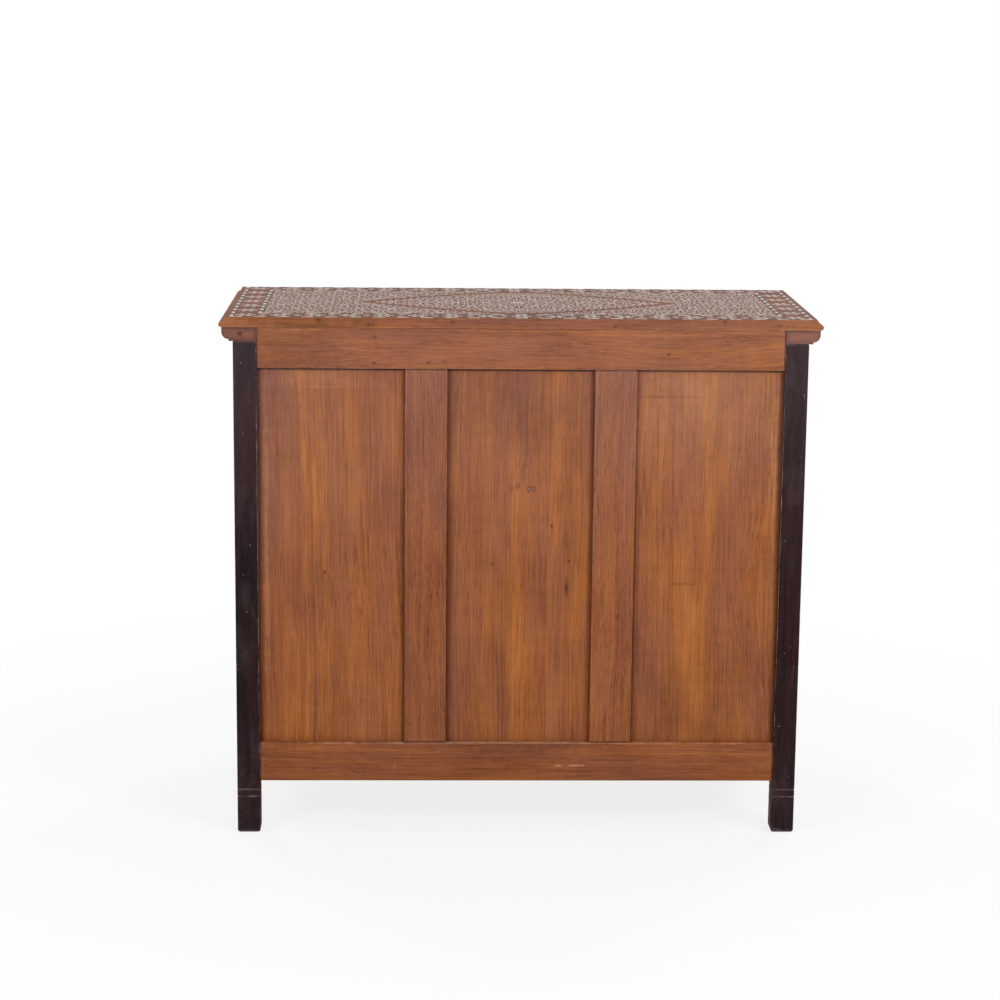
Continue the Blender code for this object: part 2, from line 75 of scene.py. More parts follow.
CAD_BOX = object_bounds()
AXES = "XYZ"
SIDES = ("left", "right")
DRAWERS = ("short_drawer_left", "short_drawer_right", "middle_drawer", "lower_drawer")
TOUCH = 1e-6  # points nearer than this are the same


def linear(value):
    """One channel of a screen colour, 0 to 255, as light."""
    level = value / 255
    return level / 12.92 if level <= 0.04045 else ((level + 0.055) / 1.055) ** 2.4


def number(name, description, default, unit="NONE", **limits):
    return FloatProperty(name=name, description=description, default=default, unit=unit, **limits)


def length(name, description, default):
    return number(name, description, default, "LENGTH", precision=5)


def colour(name, description, *rgb):
    default = [linear(channel) for channel in rgb]
    limits = {"subtype": "COLOR", "min": 0, "max": 1}
    return FloatVectorProperty(name=name, description=description, default=default, **limits)


class ChestSizes(bpy.types.PropertyGroup):
    """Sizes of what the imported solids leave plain."""

    edge_rounding: length("Edge rounding", "Radius worn onto the edges of the boards", 0.0011)
    joint_gap: length("Joint gap", "Hairline left where one board meets another", 0.0003)
    panel_lap: length("Panel lap", "How far a panel runs on into its frame", 0.002)
    foot_rounding: length("Foot rounding", "Radius at the bottom of each foot", 0.0058)
    score_low: length("Lower score", "Height of the lower line cut round each foot", 0.067)
    score_high: length("Upper score", "Height of the upper line cut round each foot", 0.080)
    score_depth: length("Score depth", "Depth of the lines round the feet", 0.0012)
    score_width: length("Score width", "Width of the lines round the feet", 0.0022)
    bead_radius: length("Bead radius", "Radius of the bead round the top", 0.005)
    arris_inset: length("Arris inset", "From the tip of the bead back to the upper edge of the top", 0.010)
    top_fillet: length("Top fillet", "Upright step between the upper edge of the top and its cove", 0.0025)
    moulding_fillet: length("Moulding fillet", "Upright face above the ovolo", 0.007)
    moulding_arris: length("Moulding arris", "Worn upper edge of the strips under the top", 0.0006)
    ovolo_width: length("Ovolo width", "How far the ovolo under the top reaches out", 0.011)
    ovolo_height: length("Ovolo height", "Height of the ovolo under the top", 0.013)
    ovolo_quirk: length("Ovolo quirk", "Step under the ovolo", 0.001)
    nail_radius: length("Nail radius", "Radius of the nail heads in the back", 0.0014)
    knob_neck: length("Knob neck", "From the drawer to the back of a knob's head", 0.011)
    knob_steps: IntProperty(name="Knob steps", description="Facets round a turned knob", default=40, min=12)


class ChestInlay(bpy.types.PropertyGroup):
    """Sizes of the inlay."""

    lift: length("Lift", "How far the worn inlay stands proud of the wood", 0.00012)
    depth: length("Depth", "How far the inlay is let into the wood", 0.0004)
    gap: length("Gap", "Wood left between two pieces of the inlay", 0.0017)
    leaf_length: length("Leaf length", "Length of a leaf of the scrolls", 0.0117)
    leaf_width: length("Leaf width", "Width of a leaf of the scrolls", 0.0038)
    scroll_pitch: length("Scroll pitch", "Distance between the centres of two scrolls", 0.056)
    band_width: length("Band width", "Plain wood left along the outline of a medallion", 0.017)
    flower_pitch: length("Flower pitch", "Distance between two flowers of the top's border", 0.059)
    flower_radius: length("Flower radius", "Radius of a flower of the top's border", 0.0185)
    bar_length: length("Bar length", "Length of a black or a white bar of the top's border", 0.0205)
    bar_width: length("Bar width", "Width of a bar of the top's border", 0.0055)
    top_end_margin: length("Top end margin", "Plain wood outside the border at the ends of the top", 0.0115)
    top_edge_margin: length("Top edge margin", "Plain wood outside the border along the top", 0.0050)
    drawer_margin: length("Drawer margin", "Plain wood outside the border of a drawer", 0.006)
    top_medallion_width: length("Top medallion width", "Half the width of the medallion on the top", 0.275)
    top_medallion_height: length("Top medallion height", "Half the height of the medallion on the top", 0.158)
    long_medallion_width: length("Long medallion width", "Half the width of a long drawer's medallion", 0.215)
    short_medallion_width: length("Short medallion width", "The same for a short drawer", 0.130)
    knob_clearance: length("Knob clearance", "Radius kept free of leaves round a knob", 0.0155)
    rosette_radius: length("Rosette radius", "Radius of the ring of petals round a knob", 0.0195)
    rosette_petal: length("Rosette petal", "Length of a petal round a knob", 0.0075)
    rosette_width: length("Rosette width", "Width of a petal round a knob", 0.0050)


class ChestColours(bpy.types.PropertyGroup):
    """Colours of the woods and of the inlay."""

    teak_light: colour("Teak, light", "Pale early wood", 170, 102, 48)
    teak_dark: colour("Teak, dark", "Dark late wood", 134, 78, 42)
    teak_tint: colour("Teak, tint", "Broad purple-brown clouds", 132, 79, 56)
    teak_worn: colour("Teak, worn", "Edges rubbed pale", 186, 138, 108)
    black_light: colour("Black wood, light", "Stained wood where the grain is open", 31, 22, 25)
    black_dark: colour("Black wood, dark", "Stained wood", 22, 16, 20)
    black_tint: colour("Black wood, tint", "Red wood that shows through the stain", 50, 28, 26)
    black_worn: colour("Black wood, worn", "Edges where the stain has gone", 138, 114, 116)
    lining_light: colour("Lining, light", "Pale wood of the drawer linings", 190, 142, 96)
    lining_dark: colour("Lining, dark", "Darker grain of the drawer linings", 150, 104, 66)
    lining_tint: colour("Lining, tint", "Broad clouds in the drawer linings", 164, 118, 80)
    lining_worn: colour("Lining, worn", "Rubbed edges of the drawer linings", 204, 162, 120)
    bone_light: colour("Bone, light", "Fresh bone", 212, 211, 207)
    bone_dark: colour("Bone, dark", "Yellowed bone", 188, 183, 173)
    steel: colour("Steel", "Heads of old nails", 150, 138, 132)
    ebony_light: colour("Ebony, light", "Open grain of the black pieces of the inlay", 44, 36, 35)
    ebony_dark: colour("Ebony, dark", "Black pieces of the inlay", 20, 16, 16)
    grime: colour("Grime", "Film on the upper face of the top", 112, 72, 60)
    # Dark stains and dirt, also used for painted shade in gaps and under the top's overhang
    dirt: colour("Dirt", "Dark stains, and dirt in the joints", 62, 34, 24)
    # Pale colour of the painted sheen that grows with height on the boards, and of the bloom on the black
    # wood
    bloom_and_painted_sheen: colour("Haze", "Pale bloom on the old polish", 168, 142, 146)
    floor: colour("Floor", "Floor of the stage", 255, 255, 255)


class ChestStage(bpy.types.PropertyGroup):
    """Lamps and camera."""

    side_power: number("Side lamps", "Power of each lamp on the camera's side", 50.0, "POWER")
    camera_power: number("Camera lamp", "Power of the lamp above the camera", 22.0, "POWER")
    front_power: number("Front lamps", "Power of each lamp before the drawers", 58.0, "POWER")
    top_power: number("Top lamp", "Power of the lamp overhead", 8.0, "POWER")
    sky: number("Sky", "Light from all round on matt surfaces", 0.38)
    floor_glow: number("Floor glow", "White the camera sees in a shadow", 0.8, subtype="FACTOR", min=0, max=1)
    lens: number("Lens", "Focal length of the camera in millimetres", 91.916, "CAMERA")


# Finishes


class Nodes:
    """A node tree, and the few kinds of node that the finishes are made of."""

    def __init__(self, tree):
        self.tree = tree

    def feed(self, socket, value):
        if isinstance(value, bpy.types.NodeSocket):
            self.tree.links.new(value, socket)
        else:
            socket.default_value = value

    def node(self, kind, inputs, **settings):
        made = self.tree.nodes.new("ShaderNode" + kind)
        for name, value in settings.items():
            setattr(made, name, value)
        for key, value in inputs.items():
            self.feed(made.inputs[key], value)
        return made

    def place(self):
        return self.node("TexCoord", {}).outputs["Object"]

    def shift(self, vector, by):
        return self.node("Mapping", {"Vector": vector, "Location": by}).outputs[0]

    def maths(self, operation, *values):
        return self.node("Math", dict(enumerate(values)), operation=operation).outputs[0]

    def vector(self, operation, *values):
        made = self.node("VectorMath", dict(enumerate(values)), operation=operation)
        return made.outputs["Value" if operation == "LENGTH" else "Vector"]

    def split(self, vector):
        return self.node("SeparateXYZ", {0: vector}).outputs[:]

    def rgb(self, *channels):
        return self.node("CombineColor", dict(enumerate(channels))).outputs[0]

    def noise(self, vector, stretch, detail=1.0, rough=0.5):
        stretched = self.node("Mapping", {"Vector": vector, "Scale": stretch}).outputs[0]
        inputs = {"Vector": stretched, "Scale": 1.0, "Detail": detail, "Roughness": rough}
        return self.node("TexNoise", inputs).outputs[0]

    def bands(self, distance, scale, detail):
        inputs = {"W": distance, "Scale": scale, "Detail": detail}
        return self.node("TexNoise", inputs, noise_dimensions="1D").outputs[0]

    def ramp(self, value, low, high, start=0.0, end=1.0):
        return self.node("MapRange", dict(enumerate((value, low, high, start, end)))).outputs[0]

    def blend(self, factor, first, second, how="MIX"):
        inputs = {0: factor, 6: first, 7: second}
        return self.node("Mix", inputs, data_type="RGBA", blend_type=how).outputs[2]

    def background_rays(self):
        """1 for rays that show the background: to the camera, in a shine or through glass."""
        path = self.node("LightPath", {}).outputs
        seen = self.maths("MAXIMUM", path["Is Camera Ray"], path["Is Glossy Ray"])
        return self.maths("MAXIMUM", seen, path["Is Transmission Ray"])


class Finish(Nodes):
    """A material with its shader."""

    def __init__(self, name):
        self.material = bpy.data.materials.new(name)
        self.material.use_nodes = True
        super().__init__(self.material.node_tree)
        self.shader = self.tree.nodes["Principled BSDF"]

    def surface(self, **values):
        """Feeds the shader: a value for a whole surface goes straight onto its socket."""
        for name, value in values.items():
            self.feed(self.shader.inputs[name.replace("_", " ")], value)

    def bump(self, height, strength, distance):
        inputs = {"Height": height, "Strength": strength, "Distance": distance}
        self.surface(Normal=self.node("Bump", inputs).outputs[0])


def rgba(name):
    """One of the chest's colours, opaque."""
    return (*getattr(bpy.context.scene.chest_colours, name), 1.0)


def even(stretch):
    return (stretch, stretch, stretch)


@dataclass
class Layer:
    """A noise drawn out along the grain; what lies between low and high runs from start to end."""

    along: float
    across: float
    detail: float
    low: float
    high: float
    start: float = 0.0
    end: float = 1.0


LAYERS = {
    "clouds": Layer(2.6, 16.0, 2.0, 0.40, 0.66, end=0.75),
    "veins": Layer(7.0, 150.0, 2.0, 0.46, 0.68, end=0.45),
    "streaks": Layer(5.0, 250.0, 2.0, 0.54, 0.74),
    "fibres": Layer(8.0, 520.0, 2.0, 0.38, 0.68),
    "pores": Layer(70.0, 480.0, 1.0, 0.58, 0.72),
    "flecks": Layer(45.0, 520.0, 1.0, 0.44, 0.30),
    "patches": Layer(8.0, 24.0, 3.0, 0.34, 0.66, -0.5, 0.5),
    "bloom": Layer(14.0, 45.0, 3.0, 0.50, 0.75, end=0.05),
    "scratches": Layer(18.0, 420.0, 2.0, 0.68, 0.80, end=0.13),
}


@dataclass
class Mark:
    """A scratch, a stain or a rubbed place: a box that fades towards its sides."""

    place: Vector
    half: Vector
    kind: str
    strength: float


@dataclass
class Look:
    """What sets one board's wood apart. A knot is a place and a size."""

    tone: float = 1.0
    roughness: float = 0.5
    shine: float = 0.12
    # Strength of the painted sheen that grows with height
    bloom_and_painted_sheen: float = 0.0
    grime: float = 0.0
    open_grain: float = 0.25
    ruddy: float = 0.0
    # Widths of the painted shadow, with dirt, along a panel's low and high sides
    shadow: tuple = ()
    joined: bool = False
    # Grime with painted shade along the edges and joints
    grimy_and_shaded_edges: bool = False
    knots: tuple = ()
    marks: tuple = ()


PLAIN = Look()


class Wood(Finish):
    """A board's wood: rings about a heart that lies behind it, clouds, streaks, fibres, pores and edges."""

    WANDER = 0.060  # how far the grain drifts across the board
    RIPPLE = 0.004  # how far the rings waver
    FIBRE_RIPPLE = 0.003  # how far the fibres waver
    WARMTH = 0.8  # dark streaks keep more red than green and blue
    RINGS, LATE_WOOD = 70.0, 420.0  # bands to the metre
    # Shares left at the darkest: a knot, the painted shadow along a panel's sides and under its head, a
    # joint's shoulder, grime with painted shade at the edges
    KNOT_DEPTH, SIDE_DEPTH, HEAD_DEPTH, SHOULDER_DEPTH, DIRT_DEPTH = 0.40, 0.42, 0.10, 0.25, 0.30

    def __init__(self, name, low, high, grain, kind, look=PLAIN):
        super().__init__(name + "_" + kind)
        chance = random.Random(name)
        self.grain, self.look = AXES.index(grain), look
        self.middle, self.half = (low + high) / 2, (high - low) / 2
        self.tone = {part: rgba(kind + "_" + part) for part in ("light", "dark", "tint", "worn")}
        # Stains and dirt, and painted shade in gaps
        self.tone["dirt"] = rgba("dirt")
        self.local = self.shift(self.place(), -self.middle)
        self.loose = self.shift(self.local, [chance.uniform(-5, 5) for _ in AXES])
        self.parts = self.split(self.local)
        cross = [axis for axis in range(len(AXES)) if axis != self.grain]
        self.thin, self.wide = sorted(cross, key=lambda axis: self.half[axis])

        radius = self.heart_distance(chance)
        self.rub = self.noise(self.loose, even(60.0), 3.0, 0.65)
        self.inside = self.edge_distance()
        fibres = self.layer("fibres")
        shade = self.shadows(self.spots(self.grain_shade(radius, fibres)))
        warm = self.rgb(self.maths("POWER", shade, self.WARMTH), shade, shade)
        body = self.films(self.blend(1.0, self.grain_colour(radius), warm, "MULTIPLY"))
        if kind == "black":
            # Pale blotches on the black wood in the same colour: bloom on the polish, partly a painted sheen
            body = self.blend(self.layer("bloom"), body, rgba("bloom_and_painted_sheen"))
            body = self.blend(self.layer("scratches"), body, self.tone["worn"])
            specks = self.ramp(self.noise(self.loose, even(170.0), 1.0), 0.76, 0.80, 0.0, 0.7)
            body = self.blend(specks, body, self.tone["worn"])
        self.surface(
            Base_Color=self.scuffs(body),
            Roughness=self.ramp(fibres, 0.0, 1.0, look.roughness - 0.05, look.roughness + 0.08),
            Specular_IOR_Level=look.shine,
        )
        self.bump(shade, 0.25, 0.0004)

    def along(self, along, across):
        """A stretch that runs along the grain."""
        return [along if axis == self.grain else across for axis in range(len(AXES))]

    def layer(self, name, start=None):
        layer = LAYERS[name]
        noise = self.noise(self.loose, self.along(layer.along, layer.across), layer.detail)
        return self.ramp(noise, layer.low, layer.high, layer.start if start is None else start, layer.end)

    def darken(self, shade, value, low, high, depth):
        """Brings the shade down to a share of itself where a value is low."""
        return self.maths("MULTIPLY", shade, self.ramp(value, low, high, depth, 1.0))

    def heart_distance(self, chance):
        """Distance from the heart of the trunk. The grain then wanders as the rings do."""
        self.drift = self.noise(self.loose, self.along(1.3, 5.0), 2.0)
        self.ripple = self.noise(self.loose, self.along(9.0, 40.0), 1.0)
        bend = self.maths("MULTIPLY_ADD", self.drift, self.WANDER, chance.uniform(-0.10, 0.04))
        bend = self.maths("MULTIPLY_ADD", self.ripple, self.RIPPLE, bend)
        over = self.maths("ADD", self.parts[self.wide], bend)
        under = self.maths("ADD", self.parts[self.thin], chance.uniform(0.05, 0.11))
        square = self.maths("MULTIPLY_ADD", over, over, self.maths("MULTIPLY", under, under))
        for wander, reach in ((self.drift, self.WANDER), (self.ripple, self.FIBRE_RIPPLE)):
            self.loose = self.vector("MULTIPLY_ADD", wander, self.along(0.0, reach), self.loose)
        return self.maths("SQRT", square)

    def edge_distance(self):
        """Distance from the nearest edge of the board, read on its faces."""
        x, y, z = self.split(self.vector("SUBTRACT", self.half, self.vector("ABSOLUTE", self.local)))
        nearer, farther = self.maths("MINIMUM", x, y), self.maths("MAXIMUM", x, y)
        return self.maths("MAXIMUM", nearer, self.maths("MINIMUM", farther, z))

    def grain_colour(self, radius):
        rings = self.ramp(self.bands(radius, self.RINGS, 2.0), 0.20, 0.80)
        base = self.blend(rings, self.tone["dark"], self.tone["light"])
        base = self.blend(self.layer("clouds", self.look.ruddy), base, self.tone["tint"])
        return self.blend(self.layer("veins"), base, self.tone["tint"])

    def grain_shade(self, radius, fibres):
        """How light the wood is: late wood, streaks, fibres and pores darken it, flecks lighten it."""
        tone, open_grain = self.look.tone, self.look.open_grain
        depths = {
            self.ramp(self.bands(radius, self.LATE_WOOD, 2.0), 0.50, 0.74): -0.17,
            self.layer("streaks"): -0.20,
            fibres: -0.37,
            self.noise(self.loose, self.along(70.0, 9.0), 1.0): 0.18,
            self.layer("patches"): 0.28,
            self.layer("pores"): -1.2 * open_grain,
            self.layer("flecks"): 0.8 * open_grain,
        }
        shade = self.ramp(self.drift, 0.3, 0.7, 1.075 * tone, 1.195 * tone)
        for layer, depth in depths.items():
            shade = self.maths("MULTIPLY_ADD", layer, depth * tone, shade)
        return shade

    def spots(self, shade):
        """Round dark spots: knots, and stains round old nails."""
        for place, size in self.look.knots:
            away = self.vector("SUBTRACT", self.local, place - self.middle)
            away = self.vector("LENGTH", self.vector("MULTIPLY", away, self.along(0.65 / size, 1.0 / size)))
            away = self.maths("MULTIPLY_ADD", self.ripple, 0.6, away)
            shade = self.darken(shade, away, 0.6, 1.9, self.KNOT_DEPTH)
        return shade

    def shadows(self, shade):
        """Darkening: painted shadow with dirt along the sides of a panel in its frame, painted shadow under
        its head, darker at the shoulders of a joint, and grime with painted shade along the edges.
        """
        look, half = self.look, self.half
        # Painted shadow with dirt in the recess along each side of a panel
        if look.shadow:
            lap = bpy.context.scene.chest_sizes.panel_lap
            for way, reach in zip((1.0, -1.0), look.shadow):
                side = self.maths("MULTIPLY_ADD", self.parts[self.wide], way, half[self.wide] - lap)
                side = self.maths("MULTIPLY_ADD", self.rub, -0.004, side)
                shade = self.darken(shade, side, -0.0015, reach - 0.002, self.SIDE_DEPTH)
            # Painted shadow under the rail: a dark line at the head of the panel and softer shade below it
            head = self.maths("SUBTRACT", half.z - lap, self.parts[2])
            shade = self.darken(shade, head, 0.0028, 0.0048, self.HEAD_DEPTH)
            shade = self.darken(shade, head, 0.0040, 0.0200, 0.90)
        if look.joined:
            end = self.maths("SUBTRACT", half[self.grain], self.maths("ABSOLUTE", self.parts[self.grain]))
            shade = self.darken(shade, end, 0.0014, 0.0030, self.SHOULDER_DEPTH)
        if look.grimy_and_shaded_edges:
            # Grime with painted shade, darkest at the edges and joints
            dirt = self.maths("MULTIPLY_ADD", self.rub, -0.012, self.inside)
            shade = self.darken(shade, dirt, -0.006, 0.002, self.DIRT_DEPTH)
        return shade

    def films(self, body):
        """Painted sheen in a pale colour that grows with height, grime on the upper face and edges rubbed
        pale.
        """
        look = self.look
        # Painted sheen: the higher a board reaches, the more it blends towards the pale colour, as if lit and
        # glossed from above
        if look.bloom_and_painted_sheen:
            height = self.split(self.place())[2]
            height = self.maths("MULTIPLY_ADD", self.noise(self.loose, even(7.0), 2.0), 0.3, height)
            body = self.blend(self.ramp(height, 0.62, 1.04, 0.0, look.bloom_and_painted_sheen), body, rgba("bloom_and_painted_sheen"))
        if look.grime:
            top = self.half.z
            upper = self.ramp(self.parts[2], top - 0.0004, top - 0.0001, 0.0, look.grime)
            body = self.blend(upper, body, rgba("grime"))
        if not look.shadow and not look.grimy_and_shaded_edges:
            edge = self.maths("MULTIPLY_ADD", self.rub, 0.006, self.inside)
            body = self.blend(self.ramp(edge, 0.0022, 0.0040, 0.5, 0.0), body, self.tone["worn"])
        return body

    def scuffs(self, body):
        """Scratches, stains and rubbed lines, pale or dark."""
        for mark in self.look.marks:
            away = self.vector("ABSOLUTE", self.vector("SUBTRACT", self.local, mark.place - self.middle))
            x, y, z = self.split(self.vector("DIVIDE", away, mark.half))
            away = self.maths("MAXIMUM", x, self.maths("MAXIMUM", y, z))
            away = self.maths("MULTIPLY_ADD", self.rub, 1.6, away)
            body = self.blend(self.ramp(away, 0.8, 1.7, mark.strength, 0.0), body, self.tone[mark.kind])
        return body


# Boards


def dress(name, shape, material, body, stands_for=(), smooth=None):
    """Makes a piece of a shape, lets it ride on its body and hides the plain solids it stands for."""
    mesh = bpy.data.meshes.new(name)
    shape.to_mesh(mesh)
    shape.free()
    mesh.materials.append(material)
    if smooth is not None:
        mesh.shade_smooth()
        mesh.set_sharp_from_angle(angle=math.radians(smooth))
    piece = bpy.data.objects.new(name, mesh)
    bpy.context.scene.collection.objects.link(piece)
    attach(piece, body)
    if stands_for:
        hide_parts(*stands_for)


def block(low, high):
    shape = bmesh.new()
    bmesh.ops.create_cube(shape, size=1.0)
    bmesh.ops.scale(shape, vec=high - low, verts=shape.verts)
    bmesh.ops.translate(shape, vec=(low + high) / 2, verts=shape.verts)
    return shape


def round_edges(shape, edges):
    bmesh.ops.bevel(
        shape,
        geom=edges,
        offset=bpy.context.scene.chest_sizes.edge_rounding,
        offset_type="OFFSET",
        segments=2,
        profile=0.5,
        affect="EDGES",
        material=-1,
    )


def extruded(shape, faces, kind):
    """Extrudes faces and gives what is new of one kind."""
    made = bmesh.ops.extrude_face_region(shape, geom=faces)["geom"]
    return [item for item in made if isinstance(item, kind)]


def quarter(steps):
    """Sine and cosine over a quarter turn."""
    turns = [math.radians(90 * step / steps) for step in range(steps + 1)]
    return [(math.sin(turn), math.cos(turn)) for turn in turns]


def lay_board(node, grain, look=PLAIN, **spans):
    """A worn board in place of the plain solid of the same name, cut to spans that leave out its tenons."""
    low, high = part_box(node)
    for axis, (start, end) in spans.items():
        setattr(low, axis, start)
        setattr(high, axis, end)
    wood = Wood(node, low, high, grain, "teak", look)
    shape = block(low, high)
    round_edges(shape, shape.edges[:])
    dress(node + "_board", shape, wood.material, "case", [node], smooth=40)
    return low, high


def lapped(low, high):
    """The span of a panel, which runs on into its frame at both ends."""
    lap = bpy.context.scene.chest_sizes.panel_lap
    return low - lap, high + lap


def between_posts(row):
    """Inner faces of the left and the right post, a hairline away."""
    gap = bpy.context.scene.chest_sizes.joint_gap
    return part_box("post_" + row + "_left")[1].x + gap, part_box("post_" + row + "_right")[0].x - gap


MARK_DEPTH = 0.01  # half the depth of a mark on a face
EDGE_DEPTH = 0.02  # half the depth of a mark that runs on round an edge


def on_face(y, knots, marks):
    """Knots (x, z, size) and marks (x, z, half width, half height, kind, strength, depth) on a rear face."""
    made = []
    for x, z, wide, tall, kind, strength, *deep in marks:
        half = Vector((wide, deep[0] if deep else MARK_DEPTH, tall))
        made.append(Mark(Vector((x, y, z)), half, kind, strength))
    return {"knots": tuple((Vector((x, y, z)), size) for x, z, size in knots), "marks": tuple(made)}


class ChestOperator:
    """What the operators share."""

    bl_options = {"REGISTER", "UNDO"}


class CHEST_OT_posts(ChestOperator, bpy.types.Operator):
    """Corner posts with rounded feet and two scored lines"""

    bl_idname = "chest.posts"
    bl_label = "Posts"
    FOOT_STEPS = 5

    def execute(self, context):
        for row in ("front", "rear"):
            for side in SIDES:
                self.post(context.scene.chest_sizes, "post_" + row + "_" + side)
        return {"FINISHED"}

    def post(self, sizes, node):
        low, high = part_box(node)
        width = high.x - low.x
        shape = block(low, high)
        round_edges(shape, [e for e in shape.edges if abs(e.verts[0].co.z - e.verts[1].co.z) > width])
        insets = self.insets(sizes, high.z)
        for height in insets:
            if low.z < height < high.z:
                geom = shape.verts[:] + shape.edges[:] + shape.faces[:]
                plane = {"plane_co": (0, 0, height), "plane_no": (0, 0, 1)}
                bmesh.ops.bisect_plane(shape, geom=geom, dist=TOUCH / 10, **plane)
        for height, inset in insets.items():
            ring = [vert for vert in shape.verts if abs(vert.co.z - height) < TOUCH]
            bring = 1 - 2 * inset / width
            space = Matrix.Translation(-(low + high) / 2)
            bmesh.ops.scale(shape, vec=(bring, bring, 1.0), space=space, verts=ring)
        wood = Wood(node, low, high, "Z", "black", self.look(sizes, low, high))
        dress(node + "_board", shape, wood.material, "case", [node], smooth=40)

    def insets(self, sizes, head):
        """How far the faces stand back at each height: round the foot, in the scores and at the head."""
        insets = {}
        for sine, cosine in quarter(self.FOOT_STEPS):
            insets[sizes.foot_rounding * (1 - cosine)] = sizes.foot_rounding * (1 - sine)
        for height in (sizes.score_low, sizes.score_high):
            insets[height - sizes.score_width / 2] = 0.0
            insets[height] = sizes.score_depth
            insets[height + sizes.score_width / 2] = 0.0
        insets[head - sizes.edge_rounding] = 0.0
        insets[head] = sizes.edge_rounding
        return insets

    def look(self, sizes, low, high):
        """Stain gone from the scored lines, the head and the foot; along the inner edge a pale line that is
        wear and a painted highlight of the arris.
        """
        score = 0.8 * sizes.score_width
        # Height, half width, half height, strength
        worn = (
            (sizes.score_low, 0.04, score, 0.95),
            (sizes.score_high, 0.04, score, 0.95),
            (high.z, 0.04, 0.0030, 0.45),
            (low.z, 0.04, 0.0080, 0.50),
            (0.03, 0.10, 0.16, 0.04),
        )
        middle = (low + high) / 2
        marks = []
        for height, across, up, strength in worn:
            half = Vector((across, across, up))
            marks.append(Mark(Vector((middle.x, middle.y, height)), half, "worn", strength))
        # Pale line down the inner edge: wear, and a painted highlight where the arris catches the light
        edge = Vector((min(low.x, high.x, key=abs), max(low.y, high.y, key=abs), 0.5))
        marks.append(Mark(edge, Vector((0.0016, 0.0016, 0.36)), "worn", 0.8))
        return Look(roughness=0.42, shine=0.05, bloom_and_painted_sheen=0.06, open_grain=0.15, marks=tuple(marks))


class CHEST_OT_top_board(ChestOperator, bpy.types.Operator):
    """Top board: bead and cove round three sides, sawn square at the back"""

    bl_idname = "chest.top_board"
    bl_label = "Top board"
    BEAD_STEPS = 12
    COVE_STEPS = 8
    STAIN = 0.0026
    STAINS = (
        (0.347, 0.9135, STAIN),
        (0.262, 0.9060, STAIN),
        (0.118, 0.9110, STAIN),
        (-0.160, 0.9050, STAIN),
        (-0.347, 0.9130, STAIN),
        (-0.442, 0.9080, STAIN),
    )

    def execute(self, context):
        low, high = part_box("top_board")
        shape = bmesh.new()
        bmesh.ops.create_grid(shape, x_segments=1, y_segments=1, size=1.0)
        face = shape.faces[:][0]
        for step, (inset, height) in enumerate(self.section(context.scene.chest_sizes, low.z, high.z)):
            covered = face
            if step:
                face = extruded(shape, [face], bmesh.types.BMFace)[0]
            if step > 1:
                bmesh.ops.delete(shape, geom=[covered], context="FACES_ONLY")
            for vert in face.verts:
                vert.co.x = math.copysign(high.x - inset, vert.co.x)
                vert.co.y = high.y if vert.co.y > 0 else low.y + inset
                vert.co.z = height

        def at_back(vert):
            return vert.co.y > high.y - TOUCH and vert.co.z > high.z - TOUCH

        round_edges(shape, [edge for edge in shape.edges if all(map(at_back, edge.verts))])
        bmesh.ops.recalc_face_normals(shape, faces=shape.faces)
        ends = ((0.36, low.z, 0.18, 0.03, "dirt", 0.42), (-0.40, low.z, 0.22, 0.03, "worn", 0.16))
        marks = on_face(high.y, self.STAINS, ends)
        look = Look(tone=0.90, shine=0.02, bloom_and_painted_sheen=0.08, grime=0.45, open_grain=0.24, **marks)
        wood = Wood("top_board", low, high, "X", "teak", look)
        dress("top_board_moulded", shape, wood.material, "case", ["top_board"], smooth=35)
        return {"FINISHED"}

    def section(self, sizes, foot, head):
        """Inset and height from the bead at the foot, up the cove and over the worn arris."""
        radius, soft, arris = sizes.bead_radius, sizes.edge_rounding, sizes.arris_inset
        section = []
        for step in range(self.BEAD_STEPS + 1):
            turn = math.radians(-90 + 180 * step / self.BEAD_STEPS)
            section.append((radius - radius * math.cos(turn), foot + radius + radius * math.sin(turn)))
        cove_top = head - sizes.top_fillet
        reach, rise = arris - radius, cove_top - foot - 2 * radius
        for sine, cosine in quarter(self.COVE_STEPS)[1:]:
            section.append((radius + reach * sine, cove_top - rise * cosine))
        return section + [(arris, head - soft), (arris + 0.3 * soft, head - 0.3 * soft), (arris + soft, head)]


